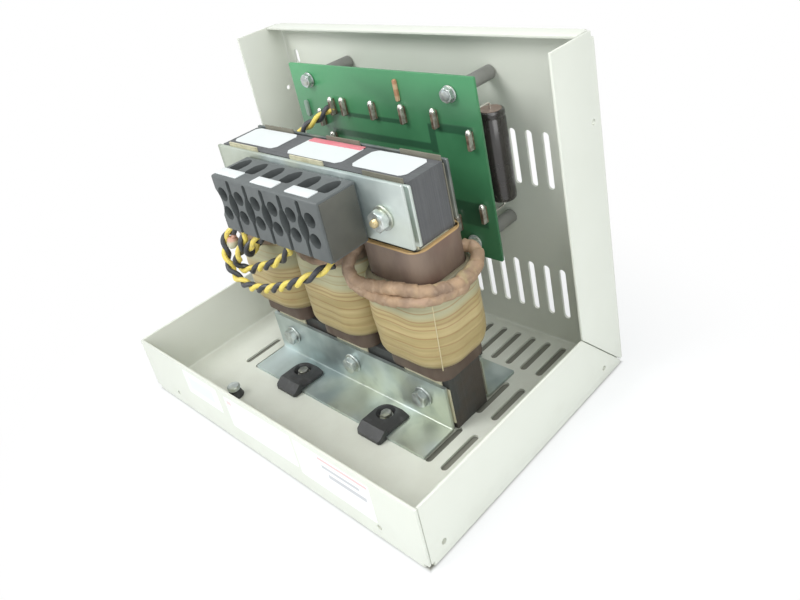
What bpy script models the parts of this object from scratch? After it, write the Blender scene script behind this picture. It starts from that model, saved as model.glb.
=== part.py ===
"""Three phase line reactor on an open, folded and slotted chassis.

Right is +X, the back panel is at +Y and up is +Z.
The origin lies under the middle of the chassis, on its underside.
All sizes are in metres.
"""

import math

import bmesh
import bpy
from mathutils import Matrix, Vector

# Fits
GAP = 0.0003
SEAM = 0.0004
FORMER_CLEARANCE = 0.0005
COIL_CLEARANCE = 0.0004
BOLT_CLEARANCE = 0.00035

# Chassis, folded from one sheet
CHASSIS_WIDTH = 0.250
CHASSIS_DEPTH = 0.174
TRAY_HEIGHT = 0.040
BACK_HEIGHT = 0.200
BACK_FLANGE_DEPTH = 0.038
TOP_LIP_DEPTH = 0.0135
SHEET = 0.0015
BEND_RADIUS = 0.0025
RELIEF = 0.004

# Vent slots of the chassis
SLOT_PITCH = 0.0112
SLOT_COLUMNS = 17
SLOT_WIDTH = 0.0045
FLOOR_SLOT_LENGTH = 0.0296
FLOOR_SLOT_ROWS = 3
FLOOR_ROW_PITCH = 0.0435
FLOOR_ROW_FROM_BACK = 0.023
BACK_SLOT_LENGTH = 0.0348
LOW_ROW_HEIGHT = 0.037
HIGH_ROW_FROM_TOP = 0.075

# Small holes of the chassis
HANGING_SLOT_LENGTH = 0.010
HANGING_SLOT_WIDTH = 0.0045
HANGING_SLOT_FROM_SIDE = 0.0114
HANGING_SLOT_FROM_TOP = 0.0237
COVER_HOLE_RADIUS = 0.0016
COVER_HOLE_HEIGHT = 0.0095
COVER_HOLE_FROM_SIDE = 0.031
SIDE_HOLE_FROM_FRONT = 0.012
SIDE_HOLE_FROM_BACK = 0.021
FLANGE_HOLE_FROM_BACK = 0.0085
FLANGE_HOLE_FROM_TOP = 0.045

# Laminated core
REACTOR_Y = 0.003
CORE_DEPTH = 0.026
LIMB_WIDTH = 0.038
LIMB_PITCH = 0.059
YOKE_HEIGHT = 0.036
WINDOW_HEIGHT = 0.0807
AIR_GAP = 0.0015
LIMB_SIDES = {"left": -1, "middle": 0, "right": 1}

# Formers and windings
FORMER_WALL = 0.0025
FORMER_SPACE_Y = 0.003
FORMER_CORNER = 0.008
FORMER_BORE_CORNER = 0.001
WINDING_BUILD = 0.0062
WINDING_CORNER = 0.0195
WINDING_EDGE = 0.0015
WINDING_FOOT_SPACE = 0.0122
WINDING_HEAD_SPACE = 0.0205

# Clamping sheets round the yokes
STRIP = 0.0008
STRIP_TAB_WIDTH = 0.028
LOWER_TAB_STAND = 0.0037
UPPER_TAB_STAND = 0.002
UPPER_TAB_SHIFT = 0.004
STRIP_SHOULDER_DROP = 0.002
CLAMP_SHEET = 0.002
CLAMP_BEND = 0.003
CLAMP_OVERHANG = 0.0015
BRACKET_END_INSET = 0.001
BRACKET_FLANGE_HEIGHT = 0.030
FOOT_DEPTH = 0.0265
CLAMP_PLATE_HEIGHT = 0.033
CLAMP_PLATE_RISE = 0.002

# Plate that carries the terminal block
PLATE_SPACER = 0.0018
PLATE_SPACER_RADIUS = 0.006
TERMINAL_PLATE_LEFT = -0.069
TERMINAL_PLATE_RIGHT = 0.0825
TERMINAL_PLATE_HEIGHT = 0.035
TERMINAL_PLATE_RISE = 0.0035

# Yoke bolts and their nuts
UPPER_BOLT_X = 0.062
BOLT_RADIUS = 0.0024
BOLT_HEAD_ACROSS_FLATS = 0.0095
BOLT_HEAD_HEIGHT = 0.0036
WASHER_RADIUS = 0.0062
WASHER_HEIGHT = 0.0012
NUT_HEIGHT = 0.004
THREAD_PROUD = 0.003

# Toe clamps that hold the feet down
TOE_WIDTH = 0.020
TOE_THICKNESS = 0.004
TOE_NOSE = 0.0062
TOE_NOSE_HEIGHT = 0.003
TOE_BOLT_FROM_FLANGE = 0.0116
TOE_FROM_BEND = 0.0053
TOE_BOLT_RADIUS = 0.002
TOE_HEAD_ACROSS_FLATS = 0.007
TOE_HEAD_HEIGHT = 0.0028
TOE_WASHER_RADIUS = 0.0045
TOE_WASHER_HEIGHT = 0.0008
TOE_COLUMN = 3.5

# Terminal block
POLES = 6
POLE_PITCH = 0.0152
BLOCK_DEPTH = 0.0259
BLOCK_HEIGHT = 0.034
BLOCK_RISE = 0.0015
BLOCK_CENTRE_X = 0.005
BLOCK_EDGE = 0.0008
POLE_GROOVE_WIDTH = 0.0018
POLE_GROOVE_DEPTH = 0.0045
POLE_GROOVE_TOP = 0.0035
POLE_WAIST_WIDTH = 0.0052
POLE_WAIST_HEIGHT = 0.015
ENTRY_RADIUS = 0.0043
ENTRY_DEPTH = 0.012
ENTRY_ROW_PITCH = 0.012
ENTRY_ROW_RISE = 0.0024
SCREW_WELL_WIDTH = 0.0052
SCREW_WELL_LENGTH = 0.0135
SCREW_WELL_DEPTH = 0.011
SCREW_WELL_FROM_BACK = 0.0085

# Circuit board on its posts
BOARD_LEFT = -0.0765
BOARD_RIGHT = 0.076
BOARD_HEIGHT = 0.109
BOARD_FROM_TOP = 0.015
BOARD_THICKNESS = 0.0016
POST_LENGTH = 0.0326
POST_RADIUS = 0.0042
POST_BORE_DEPTH = 0.009
POST_SPREAD = 0.117
POST_FROM_BOARD_TOP = 0.010
POST_FROM_BOARD_BOTTOM = 0.009
BOARD_SCREW_RADIUS = 0.0017
BOARD_SCREW_REACH = 0.0075
BOARD_HEAD_ACROSS_FLATS = 0.0075
BOARD_HEAD_HEIGHT = 0.0032
BOARD_WASHER_RADIUS = 0.0048
BOARD_WASHER_HEIGHT = 0.0010

# Blade terminals of the board, as distances from its left edge and its top
BLADE_WIDTH = 0.0026
BLADE_STAND = 0.0040
BLADE_HEIGHT = 0.0090
BLADE_PLACES = (
    (0.0361, 0.0197),
    (0.0468, 0.0190),
    (0.0727, 0.0190),
    (0.0973, 0.0190),
    (0.1217, 0.0190),
    (0.1450, 0.0290),
    (0.0235, 0.0280),
    (0.0306, 0.0430),
    (0.1256, 0.0825),
    (0.1458, 0.0730),
)

# Capacitor behind the board
CAPACITOR_RADIUS = 0.0075
CAPACITOR_LENGTH = 0.053
CAPACITOR_FROM_BOARD_RIGHT = 0.0044
CAPACITOR_FROM_BOARD_TOP = 0.023
CAPACITOR_SPACE = 0.0055
CAPACITOR_RIM = 0.0008
CAPACITOR_LEAD_RADIUS = 0.0008
CAPACITOR_LEAD_RISE = 0.004

# Earth stud on the floor
EARTH_STUD_X = -0.068
EARTH_STUD_FROM_FRONT = 0.024
EARTH_STUD_BASE_RADIUS = 0.0055
EARTH_STUD_NECK_RADIUS = 0.0040
EARTH_STUD_HEIGHT = 0.0085
EARTH_HEAD_RADIUS = 0.0046
EARTH_HEAD_HEIGHT = 0.0030

# Leads
PAIR_RADIUS = 0.0019
TAPED_LEAD_RADIUS = 0.0030
LEAD_POINT_SPACING = 2.0
TAPED_POINT_SPACING = 1.2
TAPED_CHORD_SAG = 0.0008
STRAIGHT_END = 0.3

# Planes and places that follow from the sizes above
HALF_WIDTH = CHASSIS_WIDTH / 2
FRONT_Y = -CHASSIS_DEPTH / 2
BACK_Y = CHASSIS_DEPTH / 2
FLOOR_TOP = SHEET
SEAT_Z = FLOOR_TOP + GAP
YOKE_TOP_Z = SEAT_Z + YOKE_HEIGHT
UPPER_YOKE_Z = YOKE_TOP_Z + WINDOW_HEIGHT
CORE_TOP_Z = UPPER_YOKE_Z + YOKE_HEIGHT
LOWER_BOLT_Z = SEAT_Z + YOKE_HEIGHT / 2
UPPER_BOLT_Z = UPPER_YOKE_Z + YOKE_HEIGHT / 2
CORE_HALF_WIDTH = LIMB_PITCH + LIMB_WIDTH / 2
STRIP_CENTRE = CORE_DEPTH / 2 + GAP + STRIP / 2
CLAMP_INNER = CORE_DEPTH / 2 + 2 * GAP + STRIP
CLAMP_OUTER = CLAMP_INNER + CLAMP_SHEET
CLAMP_FRONT_Y = REACTOR_Y - CLAMP_OUTER
CLAMP_REAR_Y = REACTOR_Y + CLAMP_OUTER
PLATE_REAR_Y = CLAMP_FRONT_Y - PLATE_SPACER - 2 * GAP
PLATE_FRONT_Y = PLATE_REAR_Y - CLAMP_SHEET
BLOCK_BACK_Y = PLATE_FRONT_Y - GAP
BLOCK_FRONT_Y = BLOCK_BACK_Y - BLOCK_DEPTH
BLOCK_BOTTOM_Z = UPPER_BOLT_Z + BLOCK_RISE - BLOCK_HEIGHT / 2
BLOCK_TOP_Z = BLOCK_BOTTOM_Z + BLOCK_HEIGHT
FORMER_HALF_X = LIMB_WIDTH / 2 + FORMER_CLEARANCE + FORMER_WALL
FORMER_HALF_Y = CORE_DEPTH / 2 + FORMER_SPACE_Y + FORMER_WALL
WINDING_HALF_X = (LIMB_PITCH - COIL_CLEARANCE) / 2
WINDING_HALF_Y = FORMER_HALF_Y + GAP + WINDING_BUILD
WINDING_BOTTOM_Z = YOKE_TOP_Z + WINDING_FOOT_SPACE
WINDING_TOP_Z = UPPER_YOKE_Z - WINDING_HEAD_SPACE
BOLT_BORE = BOLT_RADIUS + BOLT_CLEARANCE
TOE_BORE = TOE_BOLT_RADIUS + BOLT_CLEARANCE
TOE_X = TOE_COLUMN * SLOT_PITCH
FOOT_TOP_Z = SEAT_Z + CLAMP_SHEET
TOE_UNDER_Z = FOOT_TOP_Z + GAP
TOE_TOP_Z = TOE_UNDER_Z + TOE_THICKNESS
BOARD_TOP_Z = BACK_HEIGHT - BOARD_FROM_TOP
BOARD_REAR_Y = BACK_Y - SHEET - 2 * GAP - POST_LENGTH
BOARD_FRONT_Y = BOARD_REAR_Y - BOARD_THICKNESS
BOARD_CENTRE_X = (BOARD_LEFT + BOARD_RIGHT) / 2
BOARD_BORE = BOARD_SCREW_RADIUS + BOLT_CLEARANCE

# Facets of round pieces
ROUND_STEPS = 12
SMALL_STEPS = 8
SLOT_STEPS = 6
CORNER_STEPS = 5
SMOOTH_ANGLE = math.radians(35)
THROUGH = 0.010

for old in list(bpy.data.objects):
    bpy.data.objects.remove(old, do_unlink=True)

parts = bpy.data.collections.new("line_reactor")
cutters = bpy.data.collections.new("cutters")
bpy.context.scene.collection.children.link(parts)
bpy.context.scene.collection.children.link(cutters)
cutters.hide_render = True


def finish(name, colour, roughness, metallic=0.0):
    """A plain material with the colour, roughness and metallic value of one finish."""
    material = bpy.data.materials.new(name)
    material.use_nodes = True
    shader = material.node_tree.nodes["Principled BSDF"]
    shader.inputs["Base Color"].default_value = (*colour, 1.0)
    shader.inputs["Roughness"].default_value = roughness
    shader.inputs["Metallic"].default_value = metallic
    material.diffuse_color = (*colour, 1.0)
    return material


CREAM_PAINT = finish("cream_paint", (0.70, 0.70, 0.62), 0.45)
ZINC = finish("zinc_plate", (0.62, 0.66, 0.66), 0.35, 0.9)
CORE_STEEL = finish("core_varnish", (0.10, 0.11, 0.11), 0.6, 0.3)
WINDING_PAPER = finish("winding_paper", (0.60, 0.46, 0.22), 0.6)
FORMER_BOARD = finish("former_board", (0.30, 0.14, 0.09), 0.7)
STRIP_PAPER = finish("strip_paper", (0.66, 0.64, 0.52), 0.8)
TAPE = finish("lead_tape", (0.52, 0.28, 0.18), 0.7)
BLOCK_PLASTIC = finish("block_plastic", (0.09, 0.10, 0.10), 0.5)
TOE_BLACK = finish("toe_black", (0.05, 0.05, 0.055), 0.5)
BOARD_GREEN = finish("board_green", (0.08, 0.28, 0.12), 0.4)
POST_GREY = finish("post_grey", (0.12, 0.12, 0.12), 0.4, 0.6)
CAPACITOR_BLACK = finish("capacitor_black", (0.03, 0.03, 0.03), 0.3)
PAIR_YELLOW = finish("pair_yellow", (0.75, 0.55, 0.10), 0.5)


def place(name, mesh, material, collection=parts, frame=None):
    """Puts a mesh in the scene as one named object."""
    piece = bpy.data.objects.new(name, mesh)
    if material and not mesh.materials:
        mesh.materials.append(material)
    if frame is not None:
        piece.matrix_world = frame
    collection.objects.link(piece)
    if collection is cutters:
        piece.hide_render = True
        piece.display_type = "WIRE"
    return piece


def settled(piece):
    """Turns a piece and its modifiers into a plain mesh, smooth where it is round."""
    bpy.context.view_layer.update()
    evaluated = piece.evaluated_get(bpy.context.evaluated_depsgraph_get())
    mesh = bpy.data.meshes.new_from_object(evaluated)
    welded = bmesh.new()
    welded.from_mesh(mesh)
    bmesh.ops.remove_doubles(welded, verts=welded.verts, dist=1e-6)
    welded.to_mesh(mesh)
    welded.free()
    bpy.data.objects.remove(piece)
    mesh.shade_smooth()
    mesh.set_sharp_from_angle(angle=SMOOTH_ANGLE)
    return mesh


def join(piece, other, operation="DIFFERENCE"):
    """Adds a Boolean of one other object to a piece."""
    boolean = piece.modifiers.new(operation.lower(), "BOOLEAN")
    boolean.operation = operation
    boolean.solver = "EXACT"
    boolean.object = other


def cube_into(bm, low, high):
    """Adds a box between two corners to an open bmesh and returns its vertices."""
    low = Vector(low)
    size = Vector(high) - low
    middle = Matrix.Translation(low + size / 2)
    return bmesh.ops.create_cube(bm, size=1.0, matrix=middle @ Matrix.Diagonal((*size, 1.0)))["verts"]


def boxes(name, corners, material, collection=parts, edge=0.0):
    """One mesh of separate boxes, each between two corners, with an optional small bevel."""
    bm = bmesh.new()
    for low, high in corners:
        cube_into(bm, low, high)
    if edge:
        bmesh.ops.bevel(bm, geom=bm.edges[:], offset=edge, segments=2, profile=0.5, affect="EDGES")
    mesh = bpy.data.meshes.new(name)
    bm.to_mesh(mesh)
    bm.free()
    return place(name, mesh, material, collection)


def rounded_block(name, centre, half_x, half_y, low_z, high_z, corner, material, collection=parts, edge=0.0):
    """An upright block with round corners, and with its top and bottom edges eased if asked."""
    bm = bmesh.new()
    low = (centre[0] - half_x, centre[1] - half_y, low_z)
    high = (centre[0] + half_x, centre[1] + half_y, high_z)
    cube_into(bm, low, high)
    upright = [e for e in bm.edges if abs(e.verts[0].co.z - e.verts[1].co.z) > 1e-6]
    bmesh.ops.bevel(bm, geom=upright, offset=corner, segments=CORNER_STEPS, profile=0.5, affect="EDGES")
    if edge:
        rims = [e for e in bm.edges if abs(e.verts[0].co.z - e.verts[1].co.z) < 1e-6 and len(e.link_faces) == 2]
        rims = [e for e in rims if abs(e.calc_face_angle()) > 1.0]
        bmesh.ops.bevel(bm, geom=rims, offset=edge, segments=1, profile=0.5, affect="EDGES")
    mesh = bpy.data.meshes.new(name)
    bm.to_mesh(mesh)
    bm.free()
    mesh.shade_smooth()
    mesh.set_sharp_from_angle(angle=SMOOTH_ANGLE)
    return place(name, mesh, material, collection)


def slots(name, centres, along, through, length, width, depth=THROUGH):
    """Cutters with round ends: a short cylinder each, with its two halves pulled apart."""
    along = Vector(along)
    through = Vector(through)
    across = along.cross(through)
    turn = Matrix((across, along, through)).transposed().to_4x4()
    radius = width / 2 / math.cos(math.pi / SLOT_STEPS)
    half_turn = Matrix.Rotation(math.pi / SLOT_STEPS, 4, "Z")
    bm = bmesh.new()
    for centre in centres:
        frame = Matrix.Translation(centre) @ turn
        made = bmesh.ops.create_cone(
            bm, segments=SLOT_STEPS, radius1=radius, radius2=radius, depth=depth, cap_ends=True, matrix=half_turn
        )["verts"]
        for vert in made:
            vert.co.y += math.copysign((length - width) / 2, vert.co.y)
            vert.co = frame @ vert.co
    mesh = bpy.data.meshes.new(name)
    bm.to_mesh(mesh)
    bm.free()
    return place(name, mesh, None, cutters)


def bores(name, centres, axis, radius, depth=THROUGH, steps=SMALL_STEPS):
    """Round cutters along one axis, each centred on its own place."""
    turn = Vector(axis).to_track_quat("Z", "Y").to_matrix().to_4x4()
    bm = bmesh.new()
    for centre in centres:
        bmesh.ops.create_cone(
            bm,
            segments=steps,
            radius1=radius,
            radius2=radius,
            depth=depth,
            cap_ends=True,
            matrix=Matrix.Translation(centre) @ turn,
        )
    mesh = bpy.data.meshes.new(name)
    bm.to_mesh(mesh)
    bm.free()
    return place(name, mesh, None, cutters)


def circle(centre, radius, steps=SMALL_STEPS):
    """Points of a ring in an outline's plane."""
    turns = [2 * math.pi * k / steps for k in range(steps)]
    return [(centre[0] + radius * math.cos(t), centre[1] + radius * math.sin(t)) for t in turns]


def flat_mesh(name, outline, thickness, frame, holes=()):
    """A flat piece: a filled outline with its holes, extruded half its thickness each way."""
    curve = bpy.data.curves.new(name, "CURVE")
    curve.dimensions = "2D"
    curve.fill_mode = "BOTH"
    curve.extrude = thickness / 2
    for loop in (outline, *holes):
        spline = curve.splines.new("POLY")
        spline.points.add(len(loop) - 1)
        for point, (x, y) in zip(spline.points, loop):
            point.co = (x, y, 0.0, 1.0)
        spline.use_cyclic_u = True
    guide = bpy.data.objects.new(name, curve)
    bpy.context.scene.collection.objects.link(guide)
    mesh = settled(guide)
    mesh.transform(frame)
    return mesh


def flat_piece(name, outline, thickness, frame, material, holes=()):
    """A flat piece as a part of the reactor."""
    return place(name, flat_mesh(name, outline, thickness, frame, holes), material)


def upright(y):
    """The plane of a plate that faces the front, with its outline in X and Z."""
    return Matrix.Translation((0, y, 0)) @ Matrix.Rotation(math.pi / 2, 4, "X")


def rectangle(left, right, bottom, top):
    """Corner points of a plain plate."""
    return [(left, bottom), (right, bottom), (right, top), (left, top)]


def turned_mesh(name, profile, closed=False, steps=ROUND_STEPS):
    """A turned shape from its profile of radius and height, which runs down its outer side."""
    points = [(radius, 0.0, height) for radius, height in profile]
    edges = [(k, k + 1) for k in range(len(points) - 1)]
    if closed:
        edges.append((len(points) - 1, 0))
    mesh = bpy.data.meshes.new(name)
    mesh.from_pydata(points, edges, [])
    guide = bpy.data.objects.new(name, mesh)
    bpy.context.scene.collection.objects.link(guide)
    turn = guide.modifiers.new("turn", "SCREW")
    turn.axis = "Z"
    turn.steps = steps
    turn.render_steps = steps
    turn.use_merge_vertices = True
    turn.merge_threshold = 1e-6
    return settled(guide)


def pointing(position, direction):
    """A frame whose Z axis points along a direction."""
    return Matrix.Translation(position) @ Vector(direction).to_track_quat("Z", "Y").to_matrix().to_4x4()


def united(name, first, second):
    """Joins two overlapping meshes into one closed body."""
    base = bpy.data.objects.new(name, first)
    tool = bpy.data.objects.new(name + "_tool", second)
    bpy.context.scene.collection.objects.link(base)
    bpy.context.scene.collection.objects.link(tool)
    join(base, tool, "UNION")
    mesh = settled(base)
    bpy.data.objects.remove(tool)
    return mesh


def hexagon(across_flats):
    """Corner points of a hexagon round the middle."""
    return circle((0.0, 0.0), across_flats / math.sqrt(3), 6)


def bolt_mesh(name, shank_radius, shank_length, washer_radius, washer_height, across_flats, head_height):
    """A hexagon bolt with its washer: its seat is at zero and its shank runs down."""
    body = turned_mesh(
        name,
        [
            (0.0, washer_height),
            (washer_radius, washer_height),
            (washer_radius, 0.0),
            (shank_radius, 0.0),
            (shank_radius, -shank_length),
            (0.0, -shank_length),
        ],
        steps=SMALL_STEPS,
    )
    height = washer_height / 2 + head_height
    head = flat_mesh(name, hexagon(across_flats), height, Matrix.Translation((0, 0, washer_height / 2 + height / 2)))
    return united(name, body, head)


def nut_mesh(name, bore, washer_radius, washer_height, across_flats, nut_height):
    """A hexagon nut with its washer: its seat is at zero and its bore goes through."""
    washer = turned_mesh(
        name,
        [
            (bore, washer_height),
            (washer_radius, washer_height),
            (washer_radius, 0.0),
            (bore, 0.0),
        ],
        closed=True,
        steps=SMALL_STEPS,
    )
    height = washer_height / 2 + nut_height
    middle = Matrix.Translation((0, 0, washer_height / 2 + height / 2))
    wide_bore = circle((0.0, 0.0), bore + GAP / 2)
    nut = flat_mesh(name, hexagon(across_flats), height, middle, [wide_bore])
    return united(name, washer, nut)


def folded_sheet(name, panels, inside, thickness, bend, material):
    """A folded sheet: flat panels that meet at their folds, rounded by Bevel and given their wall by Solidify."""
    bm = bmesh.new()
    for corners in panels:
        bm.faces.new([bm.verts.new(corner) for corner in corners])
    bmesh.ops.remove_doubles(bm, verts=bm.verts, dist=1e-6)
    bmesh.ops.recalc_face_normals(bm, faces=bm.faces)
    bm.faces.ensure_lookup_table()
    first = bm.faces[0]
    if (first.calc_center_median() - Vector(inside)).dot(first.normal) < 0:
        bmesh.ops.reverse_faces(bm, faces=bm.faces)
    mesh = bpy.data.meshes.new(name)
    bm.to_mesh(mesh)
    bm.free()
    piece = place(name, mesh, material)
    folds = piece.modifiers.new("folds", "BEVEL")
    folds.width = bend
    folds.segments = 3
    folds.limit_method = "ANGLE"
    folds.angle_limit = math.radians(30)
    wall = piece.modifiers.new("wall", "SOLIDIFY")
    wall.thickness = thickness
    wall.offset = -1.0
    wall.use_even_offset = True
    return piece


def chassis_panels():
    """Corners of the chassis panels: floor, front wall, back panel, top lip, side walls and back flanges."""
    wide = HALF_WIDTH
    narrow = HALF_WIDTH - RELIEF
    between = HALF_WIDTH - SHEET - SEAM
    front = FRONT_Y
    back = BACK_Y
    top = BACK_HEIGHT

    def notched(half, inner, low, high, place_corner):
        """Eight or twelve corners of a panel with a square relief at each corner."""
        low_in = low + RELIEF
        high_in = high - RELIEF
        points = [
            (-inner, low), (inner, low), (inner, low_in), (half, low_in),
            (half, high_in), (inner, high_in), (inner, high), (-inner, high),
            (-inner, high_in), (-half, high_in), (-half, low_in), (-inner, low_in),
        ]
        return [place_corner(a, b) for a, b in points]

    floor = notched(wide, narrow, front, back, lambda a, b: (a, b, 0.0))
    back_panel = notched(wide, narrow, 0.0, top, lambda a, b: (a, back, b))

    def flap(half, start, end, place_corner):
        """A panel that leaves its fold with a relief at each end and then widens."""
        turn = start + math.copysign(RELIEF, end - start)
        points = [
            (-narrow, start), (narrow, start), (narrow, turn), (half, turn),
            (half, end), (-half, end), (-half, turn), (-narrow, turn),
        ]
        return [place_corner(a, b) for a, b in points]

    front_wall = flap(wide, 0.0, TRAY_HEIGHT, lambda a, b: (a, front, b))
    top_lip = flap(between, back, back - TOP_LIP_DEPTH, lambda a, b: (a, b, top))
    panels = [floor, front_wall, back_panel, top_lip]

    slope = TRAY_HEIGHT / BACK_FLANGE_DEPTH
    butt = front + SHEET + SEAM
    seam_low = back - SEAM
    seam_high = back + SEAM
    fold_end = back - RELIEF
    side_wall = [
        (front + RELIEF, 0.0),
        (fold_end, 0.0),
        (fold_end, (seam_low - fold_end) * slope),
        (seam_low - BACK_FLANGE_DEPTH, TRAY_HEIGHT),
        (butt, TRAY_HEIGHT),
        (butt, RELIEF),
        (front + RELIEF, RELIEF),
    ]
    flange_front = back - BACK_FLANGE_DEPTH
    flange = [
        (back, RELIEF),
        (seam_high - RELIEF / slope, RELIEF),
        (flange_front, (seam_high - flange_front) * slope),
        (flange_front, top),
        (fold_end, top),
        (fold_end, top - RELIEF),
        (back, top - RELIEF),
    ]
    for side in (-1, 1):
        panels.append([(side * wide, y, z) for y, z in side_wall])
        panels.append([(side * wide, y, z) for y, z in flange])
    return panels


def make_chassis():
    """The slotted chassis with its mount slots and cover screw holes."""
    inside = (0.0, 0.0, BACK_HEIGHT / 2)
    chassis = folded_sheet("chassis", chassis_panels(), inside, SHEET, BEND_RADIUS, CREAM_PAINT)
    columns = [SLOT_PITCH * (k - (SLOT_COLUMNS - 1) / 2) for k in range(SLOT_COLUMNS)]
    rows = [BACK_Y - FLOOR_ROW_FROM_BACK - FLOOR_ROW_PITCH * k for k in range(FLOOR_SLOT_ROWS)]
    floor_places = [(x, y, 0.0) for x in columns for y in rows]
    join(chassis, slots("floor_slots", floor_places, (0, 1, 0), (0, 0, 1), FLOOR_SLOT_LENGTH, SLOT_WIDTH))
    heights = (LOW_ROW_HEIGHT, BACK_HEIGHT - HIGH_ROW_FROM_TOP)
    back_places = [(x, BACK_Y, z) for x in columns for z in heights]
    join(chassis, slots("back_slots", back_places, (0, 0, 1), (0, 1, 0), BACK_SLOT_LENGTH, SLOT_WIDTH))
    hang_x = HALF_WIDTH - HANGING_SLOT_FROM_SIDE
    hang_z = BACK_HEIGHT - HANGING_SLOT_FROM_TOP
    hang_places = [(side * hang_x, BACK_Y, hang_z) for side in (-1, 1)]
    join(chassis, slots("hanging_slots", hang_places, (0, 0, 1), (0, 1, 0), HANGING_SLOT_LENGTH, HANGING_SLOT_WIDTH))
    front_x = HALF_WIDTH - COVER_HOLE_FROM_SIDE
    front_holes = [(side * front_x, FRONT_Y, COVER_HOLE_HEIGHT) for side in (-1, 1)]
    join(chassis, bores("front_holes", front_holes, (0, 1, 0), COVER_HOLE_RADIUS))
    side_places = []
    for side in (-1, 1):
        side_places.append((side * HALF_WIDTH, FRONT_Y + SIDE_HOLE_FROM_FRONT, COVER_HOLE_HEIGHT))
        side_places.append((side * HALF_WIDTH, BACK_Y - SIDE_HOLE_FROM_BACK, COVER_HOLE_HEIGHT))
        side_places.append((side * HALF_WIDTH, BACK_Y - FLANGE_HOLE_FROM_BACK, BACK_HEIGHT - FLANGE_HOLE_FROM_TOP))
    join(chassis, bores("side_holes", side_places, (1, 0, 0), COVER_HOLE_RADIUS))
    toe_places = [(x, REACTOR_Y + side * toe_bolt_offset(), 0.0) for x in (-TOE_X, TOE_X) for side in (-1, 1)]
    join(chassis, bores("toe_holes", toe_places, (0, 0, 1), TOE_BORE))


def toe_bolt_offset():
    """Distance of a toe clamp's bolt from the middle of the core's depth."""
    return CLAMP_OUTER + TOE_BOLT_FROM_FLANGE


def limb_x(k):
    """Middle of a limb."""
    return k * LIMB_PITCH


def make_core():
    """The laminated core: three limbs on the lower yoke, the gap spacers and the upper yoke."""
    half = CORE_HALF_WIDTH
    limb_top = UPPER_YOKE_Z - AIR_GAP - 2 * GAP
    outline = [(-half, SEAT_Z), (half, SEAT_Z)]
    for k in (1, 0, -1):
        right = limb_x(k) + LIMB_WIDTH / 2
        left = limb_x(k) - LIMB_WIDTH / 2
        if k < 1:
            outline.append((right, YOKE_TOP_Z))
        outline.extend([(right, limb_top), (left, limb_top)])
        if k > -1:
            outline.append((left, YOKE_TOP_Z))
    lower_bores = [circle((limb_x(k), LOWER_BOLT_Z), BOLT_BORE) for k in LIMB_SIDES.values()]
    flat_piece("core_limbs", outline, CORE_DEPTH, upright(REACTOR_Y), CORE_STEEL, lower_bores)
    upper_bores = [circle((side * UPPER_BOLT_X, UPPER_BOLT_Z), BOLT_BORE) for side in (-1, 1)]
    yoke = rectangle(-half, half, UPPER_YOKE_Z, CORE_TOP_Z)
    flat_piece("core_upper_yoke", yoke, CORE_DEPTH, upright(REACTOR_Y), CORE_STEEL, upper_bores)
    for name, k in LIMB_SIDES.items():
        low = (limb_x(k) - LIMB_WIDTH / 2, REACTOR_Y - CORE_DEPTH / 2, limb_top + GAP)
        high = (limb_x(k) + LIMB_WIDTH / 2, REACTOR_Y + CORE_DEPTH / 2, UPPER_YOKE_Z - GAP)
        boxes("gap_spacer_" + name, [(low, high)], STRIP_PAPER)


def make_winding(name, k):
    """One board former round a limb and the winding round the former."""
    centre = (limb_x(k), REACTOR_Y)
    low = YOKE_TOP_Z + GAP
    high = UPPER_YOKE_Z - GAP
    former = rounded_block(
        "former_" + name, centre, FORMER_HALF_X, FORMER_HALF_Y, low, high, FORMER_CORNER, FORMER_BOARD
    )
    inner_x = FORMER_HALF_X - FORMER_WALL
    inner_y = FORMER_HALF_Y - FORMER_WALL
    bore = rounded_block(
        "former_bore_" + name, centre, inner_x, inner_y, low - THROUGH, high + THROUGH, FORMER_BORE_CORNER, None, cutters
    )
    join(former, bore)
    winding = rounded_block(
        "winding_" + name,
        centre,
        WINDING_HALF_X,
        WINDING_HALF_Y,
        WINDING_BOTTOM_Z,
        WINDING_TOP_Z,
        WINDING_CORNER,
        WINDING_PAPER,
        edge=WINDING_EDGE,
    )
    hollow = rounded_block(
        "winding_bore_" + name,
        centre,
        FORMER_HALF_X + GAP,
        FORMER_HALF_Y + GAP,
        WINDING_BOTTOM_Z - THROUGH,
        WINDING_TOP_Z + THROUGH,
        FORMER_CORNER + GAP,
        None,
        cutters,
    )
    join(winding, hollow)


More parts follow.
